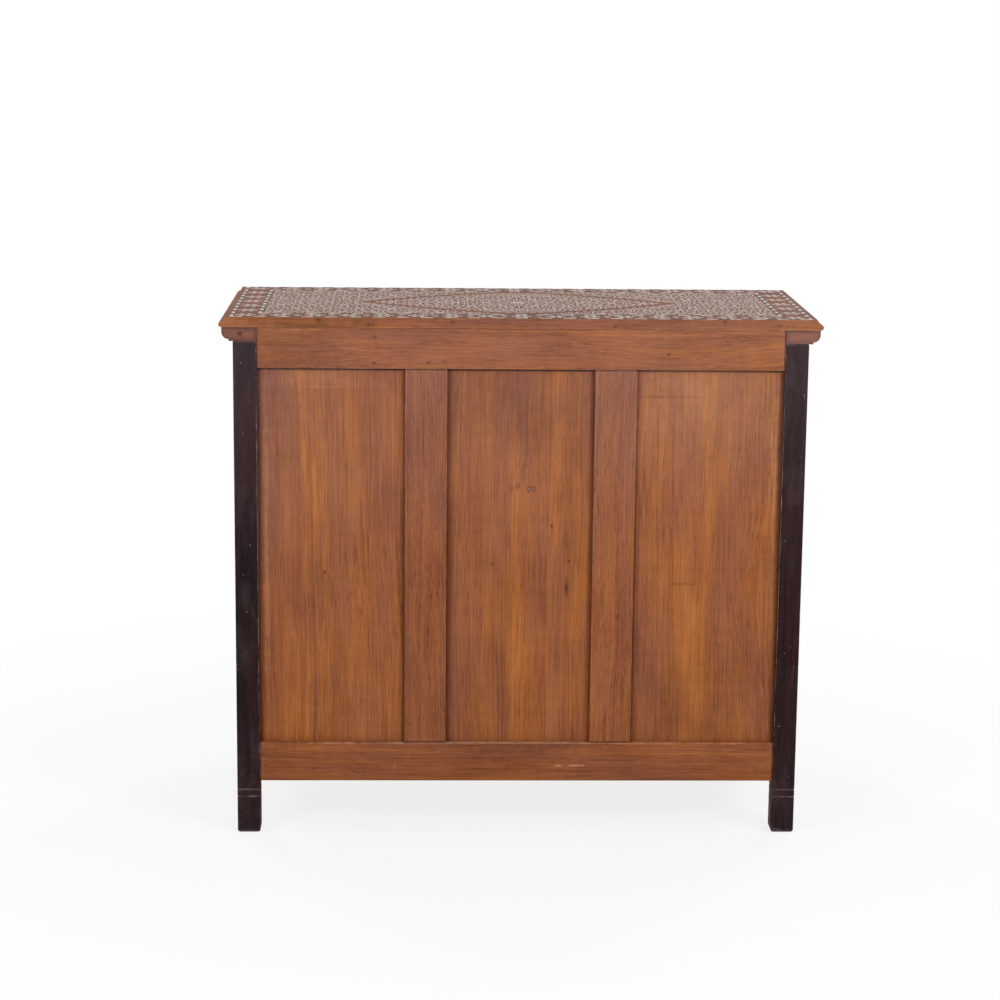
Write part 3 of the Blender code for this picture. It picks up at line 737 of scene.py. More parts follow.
class CHEST_OT_mouldings(ChestOperator, bpy.types.Operator):
    """Ovolo strips under the top, mitred at the front corners"""

    bl_idname = "chest.mouldings"
    bl_label = "Mouldings"
    TURNS = {"left": 180, "right": 0, "front": -90}
    OVOLO_STEPS = 10
    NAIL_HOLE = (0.4805, 0.8890)

    def execute(self, context):
        for side in self.TURNS:
            self.strip(context.scene.chest_sizes, side)
        return {"FINISHED"}

    def strip(self, sizes, side):
        """Draws the section with its outside towards +X, runs it along Y, mitres it and turns it."""
        node = "moulding_" + side
        low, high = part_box(node)
        width, run = sorted((high.x - low.x, high.y - low.y))
        section = self.section(sizes, width, low.z, high.z)
        shape = bmesh.new()
        start = shape.faces.new([shape.verts.new((across, 0.0, up)) for across, up in section])
        far = extruded(shape, [start], bmesh.types.BMVert)
        bmesh.ops.translate(shape, vec=(0.0, run, 0.0), verts=far)
        for vert in shape.verts:
            if vert.co.y < run / 2:
                vert.co.y -= vert.co.x
            elif side == "front":
                vert.co.y += vert.co.x
        if side == "left":
            bmesh.ops.scale(shape, vec=(1, -1, 1), verts=shape.verts)
        turn = Matrix.Rotation(math.radians(self.TURNS[side]), 3, "Z")
        bmesh.ops.rotate(shape, matrix=turn, verts=shape.verts)
        corner = (high.x if side == "right" else low.x, low.y, 0.0)
        bmesh.ops.translate(shape, vec=corner, verts=shape.verts)
        bmesh.ops.recalc_face_normals(shape, faces=shape.faces)
        look = self.look(side, (low.x + high.x) / 2, high)
        wood = Wood(node, low, high, "X" if side == "front" else "Y", "teak", look)
        dress(node + "_strip", shape, wood.material, "case", [node], smooth=35)

    def section(self, sizes, width, foot, head):
        soft, ovolo_top = sizes.moulding_arris, head - sizes.moulding_fillet
        section = [(-width, foot), (-width, head), (-soft, head), (0.0, head - soft)]
        for sine, cosine in quarter(self.OVOLO_STEPS):
            section.append((sizes.ovolo_width * (cosine - 1), ovolo_top - sizes.ovolo_height * sine))
        quirk = -sizes.ovolo_width - sizes.ovolo_quirk
        return section + [(quirk, ovolo_top - sizes.ovolo_height), (quirk, foot)]

    def look(self, side, x, high):
        """Grime with painted shade along the edges, and a dark line at the top that is dust and the painted
        shadow of the top's overhang; a nail hole drawn as a dark spot in the end of the strip on the right.
        """
        # Dark line at the top, under the top's overhang: dust and painted shadow
        marks = [(x, high.z, 0.03, 0.0040, "dirt", 0.5)]
        if side != "right":
            return Look(tone=0.625, bloom_and_painted_sheen=0.19, grimy_and_shaded_edges=True, **on_face(high.y, (), marks))
        marks.append((*self.NAIL_HOLE, 0.0044, 0.0044, "dirt", 0.9))
        return Look(tone=0.59, bloom_and_painted_sheen=0.12, grimy_and_shaded_edges=True, **on_face(high.y, [(*self.NAIL_HOLE, 0.0046)], marks))


class CHEST_OT_back_frame(ChestOperator, bpy.types.Operator):
    """Rails, muntins and flat panels of the back"""

    bl_idname = "chest.back_frame"
    bl_label = "Back"
    MUNTIN_TONES = {"left": 0.86, "right": 0.82}
    # Tone of each panel, and how far the painted shadow with dirt reaches in from its low and its high side
    PANELS = {
        "left": {"tone": 0.95, "shadow": (0.0090, 0.0060)},
        "centre": {"tone": 0.915, "shadow": (0.0090, 0.0140)},
        "right": {"tone": 0.905, "shadow": (0.0085, 0.0115)},
    }
    NAILS = ((0.0157, 0.6216), (0.0036, 0.6252), (-0.0155, 0.6200), (-0.0242, 0.6200))
    PEG = 0.0024
    PEGS = ((0.251, 0.885, PEG), (0.252, 0.840, PEG), (0.159, 0.841, PEG), (-0.252, 0.857, PEG))
    KNOTS = {
        "left": (),
        "centre": (
            *((x, z, 0.0032) for x, z in NAILS),
            (0.046, 0.486, 0.0020),
            (-0.083, 0.445, 0.0034),
            (-0.086, 0.492, 0.0018),
            (-0.055, 0.555, 0.0024),
        ),
        "right": ((0.338, 0.471, 0.0026),),
    }
    MARKS = {
        "left": (
            (-0.258, 0.7825, 0.078, 0.0028, "dirt", 0.50),
            (-0.289, 0.4520, 0.040, 0.0044, "dirt", 0.42),
            (-0.300, 0.2300, 0.180, 0.2200, "dirt", 0.16),
            (-0.442, 0.5600, 0.0040, 0.300, "worn", 0.25),
            (-0.310, 0.7800, 0.220, 0.1600, "worn", 0.20),
            (-0.4345, 0.712, 0.0014, 0.030, "worn", 0.70),
            (-0.4370, 0.665, 0.0014, 0.036, "worn", 0.70),
            (-0.4330, 0.622, 0.0014, 0.024, "worn", 0.70),
        ),
        "centre": (
            (-0.0830, 0.4475, 0.0042, 0.030, "dirt", 0.60),
            (-0.0575, 0.5500, 0.0036, 0.020, "dirt", 0.35),
            (0.0, 0.790, 0.250, 0.140, "dirt", 0.20),
        ),
        "right": (
            (0.342, 0.7965, 0.085, 0.0014, "worn", 0.24),
            (0.351, 0.7990, 0.0014, 0.008, "worn", 0.55),
            (0.345, 0.8160, 0.115, 0.0220, "worn", 0.16),
            (0.334, 0.4500, 0.030, 0.0650, "dirt", 0.16),
            (0.4385, 0.560, 0.0060, 0.330, "worn", 0.28),
        ),
    }

    def execute(self, context):
        sizes = context.scene.chest_sizes
        left, right = between_posts("rear")
        top = lay_board("back_top_rail", "X", self.top_rail_look(), x=(left, right))
        bottom = lay_board("back_bottom_rail", "X", self.bottom_rail_look(), x=(left, right))
        foot, head = bottom[1].z + sizes.joint_gap, top[0].z - sizes.joint_gap
        edges = [left]
        for side, tone in self.MUNTIN_TONES.items():
            look = Look(tone=tone, bloom_and_painted_sheen=0.13, open_grain=0.28, ruddy=0.50, joined=True)
            muntin = lay_board("back_muntin_" + side, "Z", look, z=(foot, head))
            edges += [muntin[0].x, muntin[1].x]
        edges.append(right)
        for side, low, high in zip(self.PANELS, edges[::2], edges[1::2]):
            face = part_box("back_panel_" + side)[1].y
            marks = on_face(face, self.KNOTS[side], self.MARKS[side])
            look = Look(bloom_and_painted_sheen=0.10, open_grain=0.16, **self.PANELS[side], **marks)
            lay_board("back_panel_" + side, "Z", look, x=lapped(low, high), z=lapped(foot, head))
        self.nails(sizes.nail_radius, face)
        return {"FINISHED"}

    def top_rail_look(self):
        """Peg marks, a grimy end, a dark line along the upper edge that is dirt and the painted shadow of the
        gap under the top, and a scrape.
        """
        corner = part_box("back_top_rail")[1]
        marks = (
            (0.400, 0.865, 0.13, 0.06, "dirt", 0.26),
            # Dark line under the top: dirt and painted shadow in the gap between the rail and the top board
            (0.0, corner.z, 0.46, 0.0026, "dirt", 0.55, EDGE_DEPTH),
            (0.375, 0.862, 0.05, 0.0006, "worn", 0.50),
        )
        marks = on_face(corner.y, self.PEGS, marks)
        return Look(tone=0.97, bloom_and_painted_sheen=0.06, open_grain=0.24, joined=True, **marks)

    def bottom_rail_look(self):
        """A dark band under a pale upper edge, the pale being dust and wear with a painted highlight of the
        lit ledge; one scratch across the grain and three short ones along it.
        """
        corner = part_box("back_bottom_rail")[1]
        marks = (
            (0.0, corner.z, 0.17, 0.0260, "dirt", 0.40),
            # Pale upper edge: dust and wear, with a painted highlight where the ledge faces the light
            (0.0, corner.z, 0.46, 0.0030, "worn", 0.60, EDGE_DEPTH),
            (0.2160, 0.1220, 0.0012, 0.010, "worn", 0.45),
            (-0.0724, 0.1241, 0.008, 0.0020, "worn", 1.0),
            (-0.1003, 0.1241, 0.015, 0.0020, "worn", 1.0),
            (-0.1141, 0.1241, 0.006, 0.0020, "worn", 1.0),
        )
        return Look(tone=0.75, open_grain=0.22, joined=True, **on_face(corner.y, (), marks))

    def nails(self, radius, face):
        """Heads of four old nails in the middle panel."""
        shape = bmesh.new()
        flat = Matrix.Rotation(-math.pi / 2, 4, "X") @ Matrix.Diagonal((1.0, 1.0, 0.35, 1.0))
        for x, z in self.NAILS:
            place = Matrix.Translation((x, face, z)) @ flat
            bmesh.ops.create_uvsphere(shape, u_segments=12, v_segments=8, radius=radius, matrix=place)
        finish = Finish("nail_steel")
        rust = finish.ramp(finish.noise(finish.place(), even(900.0), 2.0), 0.4, 0.7)
        tone = finish.blend(rust, rgba("steel"), rgba("teak_dark"))
        finish.surface(Base_Color=tone, Metallic=0.6, Roughness=0.45)
        dress("nail_heads", shape, finish.material, "case", smooth=60)


class CHEST_OT_side_frames(ChestOperator, bpy.types.Operator):
    """Rails and panels of both sides"""

    bl_idname = "chest.side_frames"
    bl_label = "Sides"

    def execute(self, context):
        gap = context.scene.chest_sizes.joint_gap
        # Painted shadow with dirt along the sides of the side panels, and painted shadow under their heads
        look = Look(shadow=(0.008, 0.008), open_grain=0.10)
        for side in SIDES:
            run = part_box("post_front_" + side)[1].y + gap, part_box("post_rear_" + side)[0].y - gap
            top = lay_board("side_top_rail_" + side, "Y", y=run)
            bottom = lay_board("side_bottom_rail_" + side, "Y", y=run)
            lay_board("side_panel_" + side, "Z", look, y=lapped(*run), z=lapped(bottom[1].z, top[0].z))
        return {"FINISHED"}


class CHEST_OT_front_frame(ChestOperator, bpy.types.Operator):
    """Rails between the drawers and the divider between the short ones"""

    bl_idname = "chest.front_frame"
    bl_label = "Front frame"

    def execute(self, context):
        gap = context.scene.chest_sizes.joint_gap
        rails = {}
        for node in ("front_top_rail", "drawer_rail_upper", "drawer_rail_lower", "front_bottom_rail"):
            rails[node] = lay_board(node, "X", x=between_posts("front"))
        foot, head = rails["drawer_rail_upper"][1].z + gap, rails["front_top_rail"][0].z - gap
        lay_board("drawer_divider", "Z", z=(foot, head))
        return {"FINISHED"}


class CHEST_OT_drawers(ChestOperator, bpy.types.Operator):
    """Wood of the dovetailed drawers and of the runners that carry them"""

    bl_idname = "chest.drawers"
    bl_label = "Drawers and runners"

    def execute(self, context):
        for drawer in DRAWERS:
            self.paint(drawer + "_front", "X", "teak")
            self.paint(drawer + "_back", "X")
            self.paint(drawer + "_bottom", "X")
            for side in SIDES:
                self.paint(drawer + "_side_" + side, "Y")
        for row in ("upper", "middle", "lower"):
            for side in SIDES:
                self.paint("runner_" + row + "_" + side, "Y")
        self.paint("runner_upper_centre", "Y")
        self.paint("rear_cross_rail", "X")
        return {"FINISHED"}

    def paint(self, node, grain, kind="lining"):
        """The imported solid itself, with its own wood."""
        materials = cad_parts[node].data.materials
        materials.clear()
        materials.append(Wood(node, *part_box(node), grain, kind).material)


class CHEST_OT_knobs(ChestOperator, bpy.types.Operator):
    """Turned knobs of the drawers"""

    bl_idname = "chest.knobs"
    bl_label = "Knobs"
    HEAD_STEPS = 16
    HEAD_SWEEP = 150
    # Radius and distance from the drawer, from the head back through the neck and over the collar.
    NECK = ((0.0076, 0.0106), (0.0072, 0.0085), (0.0072, 0.0060), (0.0080, 0.0042), (0.0096, 0.0036))
    COLLAR = ((0.0108, 0.0028), (0.0111, 0.0018), (0.0108, 0.0006), (0.0100, 0.0003), (0.0, 0.0003))

    def execute(self, context):
        for drawer in DRAWERS:
            for node in sorted(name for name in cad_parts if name.startswith(drawer + "_knob")):
                self.knob(context.scene.chest_sizes, drawer, node)
        return {"FINISHED"}

    def knob(self, sizes, drawer, node):
        """Spins the half section of a knob about its axis, from the middle of its face back to the drawer."""
        low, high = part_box(node)
        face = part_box(drawer + "_front")[0].y
        radius, reach, neck = (high.x - low.x) / 2, face - low.y, sizes.knob_neck
        half = (reach - neck) / 2
        section = [(0.0, reach)]
        for step in range(1, self.HEAD_STEPS + 1):
            turn = math.radians(90 - self.HEAD_SWEEP * step / self.HEAD_STEPS)
            section.append((radius * math.cos(turn), neck + half + half * math.sin(turn)))
        section += self.NECK + self.COLLAR
        shape = bmesh.new()
        verts = [shape.verts.new((across, -out, 0.0)) for across, out in section]
        edges = [shape.edges.new(pair) for pair in zip(verts, verts[1:])]
        bmesh.ops.spin(
            shape,
            geom=verts + edges,
            cent=(0, 0, 0),
            axis=(0, 1, 0),
            angle=2 * math.pi,
            steps=sizes.knob_steps,
            use_merge=True,
        )
        bmesh.ops.remove_doubles(shape, verts=shape.verts, dist=TOUCH)
        bmesh.ops.recalc_face_normals(shape, faces=shape.faces)
        middle = ((low.x + high.x) / 2, face, (low.z + high.z) / 2)
        bmesh.ops.translate(shape, vec=middle, verts=shape.verts)
        wood = Wood(node, low, high, "Y", "black", Look(roughness=0.35, shine=0.2, open_grain=0.1))
        dress(node + "_turned", shape, wood.material, drawer, [node], smooth=50)


# Inlay


MIRROR = {"leaf_left": "leaf_right", "leaf_right": "leaf_left"}


def around(u, v, radius, count, shift=0.0):
    """Places on a circle, and the turn of each."""
    turns = [2 * math.pi * (step + shift) / count for step in range(count)]
    return [(u + radius * math.cos(turn), v + radius * math.sin(turn), turn) for turn in turns]


def inlay_outlines():
    """Outlines of unit length and width along X and Y: leaves, a petal, a dot and a bar."""

    def ring(corners, outline):
        return [Vector((*outline(x, y), 0.0)) for x, y, _ in around(0.0, 0.0, 0.5, corners)]

    def leaf(bend):
        return ring(8, lambda x, y: (x, y * (1 - abs(x)) + bend * (4 * x * x - 0.4)))

    return {
        "leaf": leaf(0.0),
        "leaf_left": leaf(0.35),
        "leaf_right": leaf(-0.35),
        "petal": ring(8, lambda x, y: (x, y * (0.86 + 0.9 * x))),
        "dot": ring(10, lambda x, y: (x, y)),
        "bar": ring(4, lambda x, y: (x + y, y - x)),
    }


def nearest_of(points):
    tree = KDTree(len(points))
    for index, (u, v) in enumerate(points):
        tree.insert((u, v, 0.0), index)
    tree.balance()
    return tree


class Inlay:
    """Pieces let into a flat face: one quarter is laid out from the middle of the face and then mirrored."""

    CELL = 0.006  # of the grid in which neighbours are looked up
    # Circles that stand for a piece: their places along it, and their radii as shares of its width.
    CIRCLES = {0.0: 0.5, 0.25: 0.4, -0.25: 0.4, 0.45: 0.15, -0.45: 0.15}
    # Shares of a flower's radius: its dot, the ring that its petals lie on, their length and their width.
    DOT, PETAL_RING, PETAL_LENGTH, PETAL_WIDTH = 0.30, 0.60, 0.76, 0.36
    PETALS_ABREAST = 3.2  # the widths of all petals come to no more than this many radii
    # The border in radii of its flowers: its width, and the place, length and width of its leaves.
    BORDER, BORDER_LEAF_OUT, BORDER_LEAF_LENGTH, BORDER_LEAF_WIDTH = 2.5, 0.45, 0.7, 0.28
    BORDER_PETALS = 6
    OUTLINE_STEPS = 240
    OUTLINE_POWER = 1.4
    EDGE_PITCH, EDGE_OUT = 1.25, 0.6  # leaves along a medallion, in leaf lengths and widths
    ROW_PITCH, LAST_ROW = 0.87, 0.35  # rows of scrolls, in pitches
    MIDDLE_FLOWER, SCROLL_FLOWER = (1.4, 12), (0.78, 8)  # radius in leaf lengths, and petals
    FLOWER_OUT, FLOWER_ROOM = 0.7, 0.6  # where a rosette needs room, and how much, in leaf lengths
    AXIS_PITCH = 1.3  # leaves along the axes, in leaf lengths
    # Rings of leaves round a rosette: radius in leaves, number of leaves, lean towards the middle.
    WHORLS = ((1.28, 8, 0.9), (1.95, 12, 0.6), (2.62, 16, 0.4))
    # Leaves in what is left of the field: size, and tries for each leaf's square of it.
    FILLERS = ((0.95, 30), (0.75, 40), (0.5, 50))
    FILLER_LEAN = (0.5, 1.3)

    def __init__(self, plane, half, margin, scale):
        self.sizes = bpy.context.scene.chest_inlay
        self.leaf_length, self.leaf_width = scale * self.sizes.leaf_length, scale * self.sizes.leaf_width
        self.pitch, self.gap = scale * self.sizes.scroll_pitch, scale * self.sizes.gap
        self.plane = plane
        self.outer = self.field = half - margin
        self.pieces = []
        self.taken = {}
        self.outline = None
        self.band = 0.0

    def cell(self, u, v):
        return int(u // self.CELL), int(v // self.CELL)

    def claim(self, u, v, radius):
        self.taken.setdefault(self.cell(u, v), []).append((u, v, radius))

    def free(self, u, v, radius):
        """Whether a circle lies in the field, off the medallion's band and clear of the pieces laid."""
        keep = radius + self.gap / 2
        for place, limit in ((u, self.field.x), (v, self.field.y)):
            if place < -TOUCH or TOUCH < place < keep or place > limit - radius:
                return False
        if self.outline and self.outline.find((u, v, 0.0))[2] < self.band / 2 + radius:
            return False
        reach = 2 + int(radius // self.CELL)
        column, row = self.cell(u, v)
        for across in range(column - reach, column + reach + 1):
            for up in range(row - reach, row + reach + 1):
                for near_u, near_v, near in self.taken.get((across, up), ()):
                    if math.hypot(near_u - u, near_v - v) < near + radius + self.gap:
                        return False
        return True

    def lay(self, shape, u, v, turn, long, wide, material="bone", forced=False):
        """Lays one piece, if it is forced or there is room for it."""
        run = Vector((math.cos(turn), math.sin(turn))) * long
        circles = [(u + step * run.x, v + step * run.y, part * wide) for step, part in self.CIRCLES.items()]
        if forced or all(self.free(*circle) for circle in circles):
            for circle in circles:
                self.claim(*circle)
            self.pieces.append((material, shape, u, v, turn, long, wide))

    def petals(self, u, v, radius, count, long, wide):
        """A ring of petals; of a ring on an axis only the part in this quarter is laid."""
        for at_u, at_v, turn in around(u, v, radius, count):
            if at_u > -TOUCH and at_v > -TOUCH:
                self.lay("petal", at_u, at_v, turn, long, wide, forced=True)

    def flower(self, u, v, radius, petals):
        """A dot in a ring of petals."""
        self.lay("dot", u, v, 0.0, self.DOT * radius, self.DOT * radius, forced=True)
        wide = min(self.PETAL_WIDTH, self.PETALS_ABREAST / petals) * radius
        self.petals(u, v, self.PETAL_RING * radius, petals, self.PETAL_LENGTH * radius, wide)

    def border(self, scale):
        """Flowers between two lines of black and white bars."""
        bar, wide = scale * self.sizes.bar_length, scale * self.sizes.bar_width
        radius, pitch = scale * self.sizes.flower_radius, scale * self.sizes.flower_pitch
        band = Vector((self.BORDER * radius, self.BORDER * radius))
        leaf = self.BORDER_LEAF_LENGTH * radius, self.BORDER_LEAF_WIDTH * radius
        middle, inner = self.outer - band / 2, self.outer - band
        count_u, count_v = round(middle.x / pitch), max(1, round(middle.y / pitch))
        for step in range(count_u + 1):
            self.flower(middle.x * step / count_u, middle.y, radius, self.BORDER_PETALS)
        for step in range(count_u):
            for side in (self.BORDER_LEAF_OUT, -self.BORDER_LEAF_OUT):
                u, v = middle.x * (step + 0.5) / count_u, middle.y + side * radius
                self.lay("leaf", u, v, 0.0, *leaf, forced=True)
        for step in range(count_v):
            self.flower(middle.x, middle.y * step / count_v, radius, self.BORDER_PETALS)
        for line in (self.outer, inner):
            for run, turn in ((line.x + wide / 2, 0.0), (line.y - wide / 2, math.pi / 2)):
                count = round(run / bar - 0.5)
                fitted = run / (count + 0.5)
                for step in range(count + 1):
                    u, v = (line.x, step * fitted) if turn else (step * fitted, line.y)
                    self.lay("bar", u, v, turn, fitted, wide, ("bone", "ebony")[step % 2], True)
        self.field = inner - Vector((wide, wide))

    def medallion(self, width, height):
        """A lens edged with leaves, with a band of plain wood along its outline."""
        size = self.leaf_length
        self.band = self.sizes.band_width * size / self.sizes.leaf_length
        points = []
        for step in range(self.OUTLINE_STEPS + 1):
            part = step / self.OUTLINE_STEPS
            points.append(Vector((width * part, height * (1 - part**self.OUTLINE_POWER))))
        self.outline = nearest_of(points)
        run = size / 2
        for first, second in zip(points, points[1:]):
            run += (second - first).length
            if run < self.EDGE_PITCH * size:
                continue
            run = 0.0
            along = (second - first).normalized()
            out = Vector((-along.y, along.x))
            for side in (1, -1):
                place = second + side * out * (self.band / 2 + self.EDGE_OUT * self.leaf_width)
                self.lay("leaf", *place, math.atan2(along.y, along.x), size, self.leaf_width)

    def scrolls(self, seed):
        """Staggered rosettes with whorls of bent leaves, and smaller leaves in what is left of the field."""
        chance = random.Random(seed)
        pitch, size, width = self.pitch, self.leaf_length, self.leaf_width
        middles, hands = [], []
        rows = max(1, round(self.field.y / (self.ROW_PITCH * pitch)))
        for row in range(rows + 1):
            v = row * self.field.y / (rows + self.LAST_ROW)
            for column in range(int(self.field.x / pitch) + 1):
                middles.append(((column + row % 2 / 2) * pitch, v))
                hands.append(1 if (row + column) % 2 else -1)
        leaves = {1: "leaf_left", -1: "leaf_right"}
        for u, v in middles:
            out = self.FLOWER_OUT * size
            if self.free(max(u, out), max(v, out), self.FLOWER_ROOM * size):
                radius, petals = self.SCROLL_FLOWER if u + v > 0 else self.MIDDLE_FLOWER
                self.flower(u, v, radius * size, petals)
        for step in range(1, int(self.field.x / size)):
            out = self.AXIS_PITCH * step * size
            self.lay("leaf", out, 0.0, 0.0, size, width)
            self.lay("leaf", 0.0, out, math.pi / 2, size, width)
        for reach, count, lean in self.WHORLS:
            for (u, v), hand in zip(middles, hands):
                for at_u, at_v, turn in around(u, v, reach * size, count, 0.5):
                    self.lay(leaves[hand], at_u, at_v, turn + (math.pi / 2 - lean) * hand, size, width)
        nearest = nearest_of(middles)
        for part, tries in self.FILLERS:
            for _ in range(int(tries * self.field.x * self.field.y / size**2)):
                u, v = chance.uniform(0, self.field.x), chance.uniform(0, self.field.y)
                near, index, _ = nearest.find((u, v, 0.0))
                hand = hands[index]
                turn = math.atan2(v - near.y, u - near.x) + hand * chance.uniform(*self.FILLER_LEAN)
                self.lay(leaves[hand], u, v, turn, part * size, (0.3 + 0.7 * part) * width)

    def stamp(self, outlines, name, body, finishes):
        """Mirrors the pieces into the four quarters and makes one object of each material."""
        rise = self.plane.to_3x3() @ Vector((0, 0, self.sizes.depth + self.sizes.lift))
        sunk = self.plane @ Matrix.Translation((0, 0, -self.sizes.depth))
        for material, finish in finishes.items():
            made = bmesh.new()
            for kind, shape, u, v, turn, long, wide in self.pieces:
                if kind != material:
                    continue
                for side in (1, -1) if abs(u) > TOUCH else (1,):
                    for end in (1, -1) if abs(v) > TOUCH else (1,):
                        facing = end * (turn if side > 0 else math.pi - turn)
                        outline = outlines[shape if side == end else MIRROR.get(shape, shape)]
                        place = Matrix.Translation((side * u, end * v, 0)) @ Matrix.Rotation(facing, 4, "Z")
                        place = sunk @ place @ Matrix.Diagonal((long, wide, 1, 1))
                        made.faces.new([made.verts.new(place @ corner) for corner in outline])
            upper = extruded(made, made.faces[:], bmesh.types.BMVert)
            bmesh.ops.translate(made, vec=rise, verts=upper)
            bmesh.ops.recalc_face_normals(made, faces=made.faces)
            dress(name + "_" + material, made, finish.material, body)


def bone():
    """Bone: yellowed here and there, with fine pores."""
    finish = Finish("bone")
    place = finish.place()
    tone = finish.ramp(finish.noise(place, even(90.0), 1.0), 0.35, 0.68)
    pores = finish.ramp(finish.noise(place, even(900.0), 1.0), 0.60, 0.80, 1.0, 0.82)
    base = finish.blend(tone, rgba("bone_light"), rgba("bone_dark"))
    base = finish.blend(1.0, base, finish.rgb(pores, pores, pores), "MULTIPLY")
    finish.surface(Base_Color=base, Roughness=0.45, Specular_IOR_Level=0.15)
    return finish


def ebony():
    """Ebony: black, with a faint open grain."""
    finish = Finish("ebony")
    grain = finish.ramp(finish.noise(finish.place(), (90.0, 700.0, 700.0), 2.0), 0.45, 0.75)
    base = finish.blend(grain, rgba("ebony_dark"), rgba("ebony_light"))
    rough = finish.ramp(grain, 0.0, 1.0, 0.40, 0.55)
    finish.surface(Base_Color=base, Roughness=rough, Specular_IOR_Level=0.1)
    finish.bump(grain, 0.2, 0.0002)
    return finish


class CHEST_OT_inlay(ChestOperator, bpy.types.Operator):
    """Bone and ebony let into the top and the drawer fronts"""

    bl_idname = "chest.inlay"
    bl_label = "Inlay"
    DRAWER_SCALE = 0.7  # of the leaves and scrolls on the drawers
    DRAWER_BORDER = 0.55  # of the border on the drawers
    ROSETTE_PETALS = 16
    MEDALLION_FILL = 0.9  # share of the height of a drawer's field

    def execute(self, context):
        outlines = inlay_outlines()
        finishes = {"bone": bone(), "ebony": ebony()}
        self.top(context.scene, outlines, finishes)
        for drawer in DRAWERS:
            self.drawer(context.scene.chest_inlay, outlines, finishes, drawer)
        return {"FINISHED"}

    def top(self, scene, outlines, finishes):
        sizes, inset = scene.chest_inlay, scene.chest_sizes.arris_inset
        low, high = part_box("top_board")
        middle = Vector(((low.x + high.x) / 2, (low.y + inset + high.y) / 2, high.z))
        half = Vector((high.x - inset, high.y - middle.y))
        margin = Vector((sizes.top_end_margin, sizes.top_edge_margin))
        top = Inlay(Matrix.Translation(middle), half, margin, 1.0)
        top.border(1.0)
        top.medallion(sizes.top_medallion_width, sizes.top_medallion_height)
        top.scrolls("top")
        top.stamp(outlines, "top_inlay", "case", finishes)

    def drawer(self, sizes, outlines, finishes, drawer):
        low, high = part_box(drawer + "_front")
        middle = Vector(((low.x + high.x) / 2, low.y, (low.z + high.z) / 2))
        plane = Matrix.Translation(middle) @ Matrix.Rotation(math.pi / 2, 4, "X")
        half = Vector((high.x - low.x, high.z - low.z)) / 2
        margin = Vector((sizes.drawer_margin, sizes.drawer_margin))
        face = Inlay(plane, half, margin, self.DRAWER_SCALE)
        face.border(self.DRAWER_BORDER)
        knob = next(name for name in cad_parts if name.startswith(drawer + "_knob"))
        corner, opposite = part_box(knob)
        knob_u = abs((corner.x + opposite.x) / 2 - middle.x)
        face.claim(knob_u, 0.0, sizes.knob_clearance)
        petal = (sizes.rosette_petal, sizes.rosette_width)
        face.petals(knob_u, 0.0, sizes.rosette_radius, self.ROSETTE_PETALS, *petal)
        short = drawer.startswith("short")
        width = sizes.short_medallion_width if short else sizes.long_medallion_width
        face.medallion(width, self.MEDALLION_FILL * face.field.y)
        face.scrolls(drawer)
        face.stamp(outlines, drawer + "_inlay", drawer, finishes)


# Stage


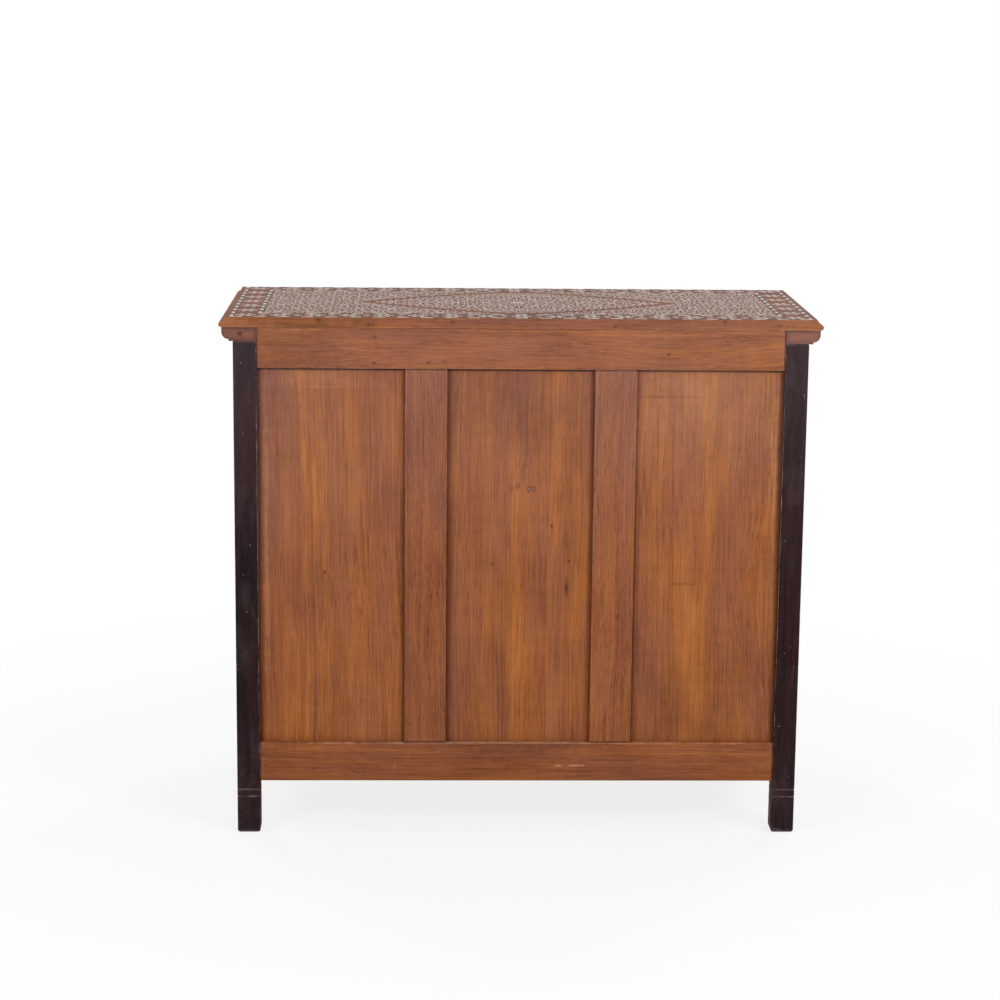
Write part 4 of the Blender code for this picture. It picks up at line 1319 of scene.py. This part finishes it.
class CHEST_OT_stage(ChestOperator, bpy.types.Operator):
    """White floor and background, soft lamps and the camera"""

    bl_idname = "chest.stage"
    bl_label = "Stage"
    FLOOR_SIZE = 60.0
    FLOOR_DROP = 0.0002
    SHADOW_FADES, SHADOW_ENDS = 0.9, 1.8  # distances from the middle of the chest
    # Place, target, size and power of each lamp.
    LAMPS = {
        "lamp_rear_left": ((2.8, 3.2, 1.7), (0.0, 0.2, 0.55), 1.4, "side_power"),
        "lamp_rear_right": ((-2.3, 2.6, 2.2), (0.0, 0.2, 0.60), 1.4, "side_power"),
        "lamp_camera": ((0.2, 4.9, 2.5), (0.0, 0.2, 0.6), 1.2, "camera_power"),
        "lamp_front_left": ((-2.7, -3.2, 1.9), (0.0, -0.2, 0.5), 1.5, "front_power"),
        "lamp_front_right": ((2.7, -3.2, 1.9), (0.0, -0.2, 0.5), 1.5, "front_power"),
        "lamp_top": ((0.0, 0.3, 3.6), (0.0, 0.0, 0.9), 2.4, "top_power"),
    }
    CAMERA_PLACE = (0.16395, 4.55089, 1.47255)
    CAMERA_TURN = (78.62562, -0.55902, 178.40170)
    SENSOR = 36.0

    def execute(self, context):
        stage = context.scene.chest_stage
        self.floor(context, stage)
        self.sky(context, stage)
        for name, (place, target, size, power) in self.LAMPS.items():
            light = bpy.data.lights.new(name, "AREA")
            light.shape, light.size, light.energy = "SQUARE", size, getattr(stage, power)
            turn = (Vector(target) - Vector(place)).to_track_quat("-Z", "Y").to_euler()
            self.stand(context, name, light, place, turn)
        lens = bpy.data.cameras.new("camera")
        lens.lens, lens.sensor_width = stage.lens, self.SENSOR
        turn = [math.radians(angle) for angle in self.CAMERA_TURN]
        context.scene.camera = self.stand(context, "camera", lens, self.CAMERA_PLACE, turn)
        context.scene.view_settings.view_transform = "Standard"
        return {"FINISHED"}

    def stand(self, context, name, data, place, turn):
        made = bpy.data.objects.new(name, data)
        made.location, made.rotation_euler = place, turn
        context.scene.collection.objects.link(made)
        return made

    def floor(self, context, stage):
        """White far from the chest; near it the floor keeps the chest's shadow, also in a shine."""
        shape = bmesh.new()
        bmesh.ops.create_grid(shape, x_segments=1, y_segments=1, size=self.FLOOR_SIZE)
        bmesh.ops.translate(shape, vec=(0.0, 0.0, CAD_BOX[0][2] - self.FLOOR_DROP), verts=shape.verts)
        mesh = bpy.data.meshes.new("floor")
        shape.to_mesh(mesh)
        shape.free()
        finish = Finish("floor_white")
        finish.surface(Base_Color=rgba("floor"), Roughness=1.0, Specular_IOR_Level=0.0)
        glow = finish.node("Emission", {"Color": rgba("floor"), "Strength": 1.0}).outputs[0]
        to_camera = finish.node("LightPath", {}).outputs["Is Camera Ray"]
        near = finish.maths("MULTIPLY", to_camera, stage.floor_glow)
        away = finish.vector("LENGTH", finish.place())
        glowing = finish.ramp(away, self.SHADOW_FADES, self.SHADOW_ENDS, near, 1.0)
        glowing = finish.maths("MULTIPLY", finish.background_rays(), glowing)
        mixed = finish.node("MixShader", {0: glowing, 1: finish.shader.outputs[0], 2: glow}).outputs[0]
        finish.feed(finish.tree.nodes["Material Output"].inputs["Surface"], mixed)
        mesh.materials.append(finish.material)
        floor = bpy.data.objects.new("floor", mesh)
        context.scene.collection.objects.link(floor)

    def sky(self, context, stage):
        world = bpy.data.worlds.new("studio")
        context.scene.world = world
        world.use_nodes = True
        nodes = Nodes(world.node_tree)
        background = world.node_tree.nodes["Background"].inputs
        nodes.feed(background["Color"], (1.0, 1.0, 1.0, 1.0))
        nodes.feed(background["Strength"], nodes.ramp(nodes.background_rays(), 0.0, 1.0, stage.sky, 1.0))


SETTINGS = {
    "chest_sizes": ChestSizes,
    "chest_inlay": ChestInlay,
    "chest_colours": ChestColours,
    "chest_stage": ChestStage,
}
OPERATORS = (
    CHEST_OT_posts,
    CHEST_OT_top_board,
    CHEST_OT_mouldings,
    CHEST_OT_back_frame,
    CHEST_OT_side_frames,
    CHEST_OT_front_frame,
    CHEST_OT_drawers,
    CHEST_OT_knobs,
    CHEST_OT_inlay,
    CHEST_OT_stage,
)


class CHEST_PT_chest(bpy.types.Panel):
    """Steps that dress the chest"""

    bl_label = "Inlaid chest of drawers"
    bl_idname = "CHEST_PT_chest"
    bl_space_type = "VIEW_3D"
    bl_region_type = "UI"
    bl_category = "Chest"

    def draw(self, context):
        for name in SETTINGS:
            box = self.layout.box()
            box.label(text=name.replace("_", " ").capitalize())
            group = getattr(context.scene, name)
            for key in group.__annotations__:
                box.prop(group, key)
        for step in OPERATORS:
            self.layout.operator(step.bl_idname)


def register():
    for group in SETTINGS.values():
        bpy.utils.register_class(group)
    for name, group in SETTINGS.items():
        setattr(bpy.types.Scene, name, PointerProperty(type=group))
    for step in OPERATORS:
        bpy.utils.register_class(step)
    bpy.utils.register_class(CHEST_PT_chest)


def unregister():
    bpy.utils.unregister_class(CHEST_PT_chest)
    for step in reversed(OPERATORS):
        bpy.utils.unregister_class(step)
    for name in SETTINGS:
        delattr(bpy.types.Scene, name)
    for group in SETTINGS.values():
        bpy.utils.unregister_class(group)


def main():
    register()
    for step in OPERATORS:
        group, name = step.bl_idname.split(".")
        getattr(getattr(bpy.ops, group), name)()


if __name__ == "__main__":
    main()
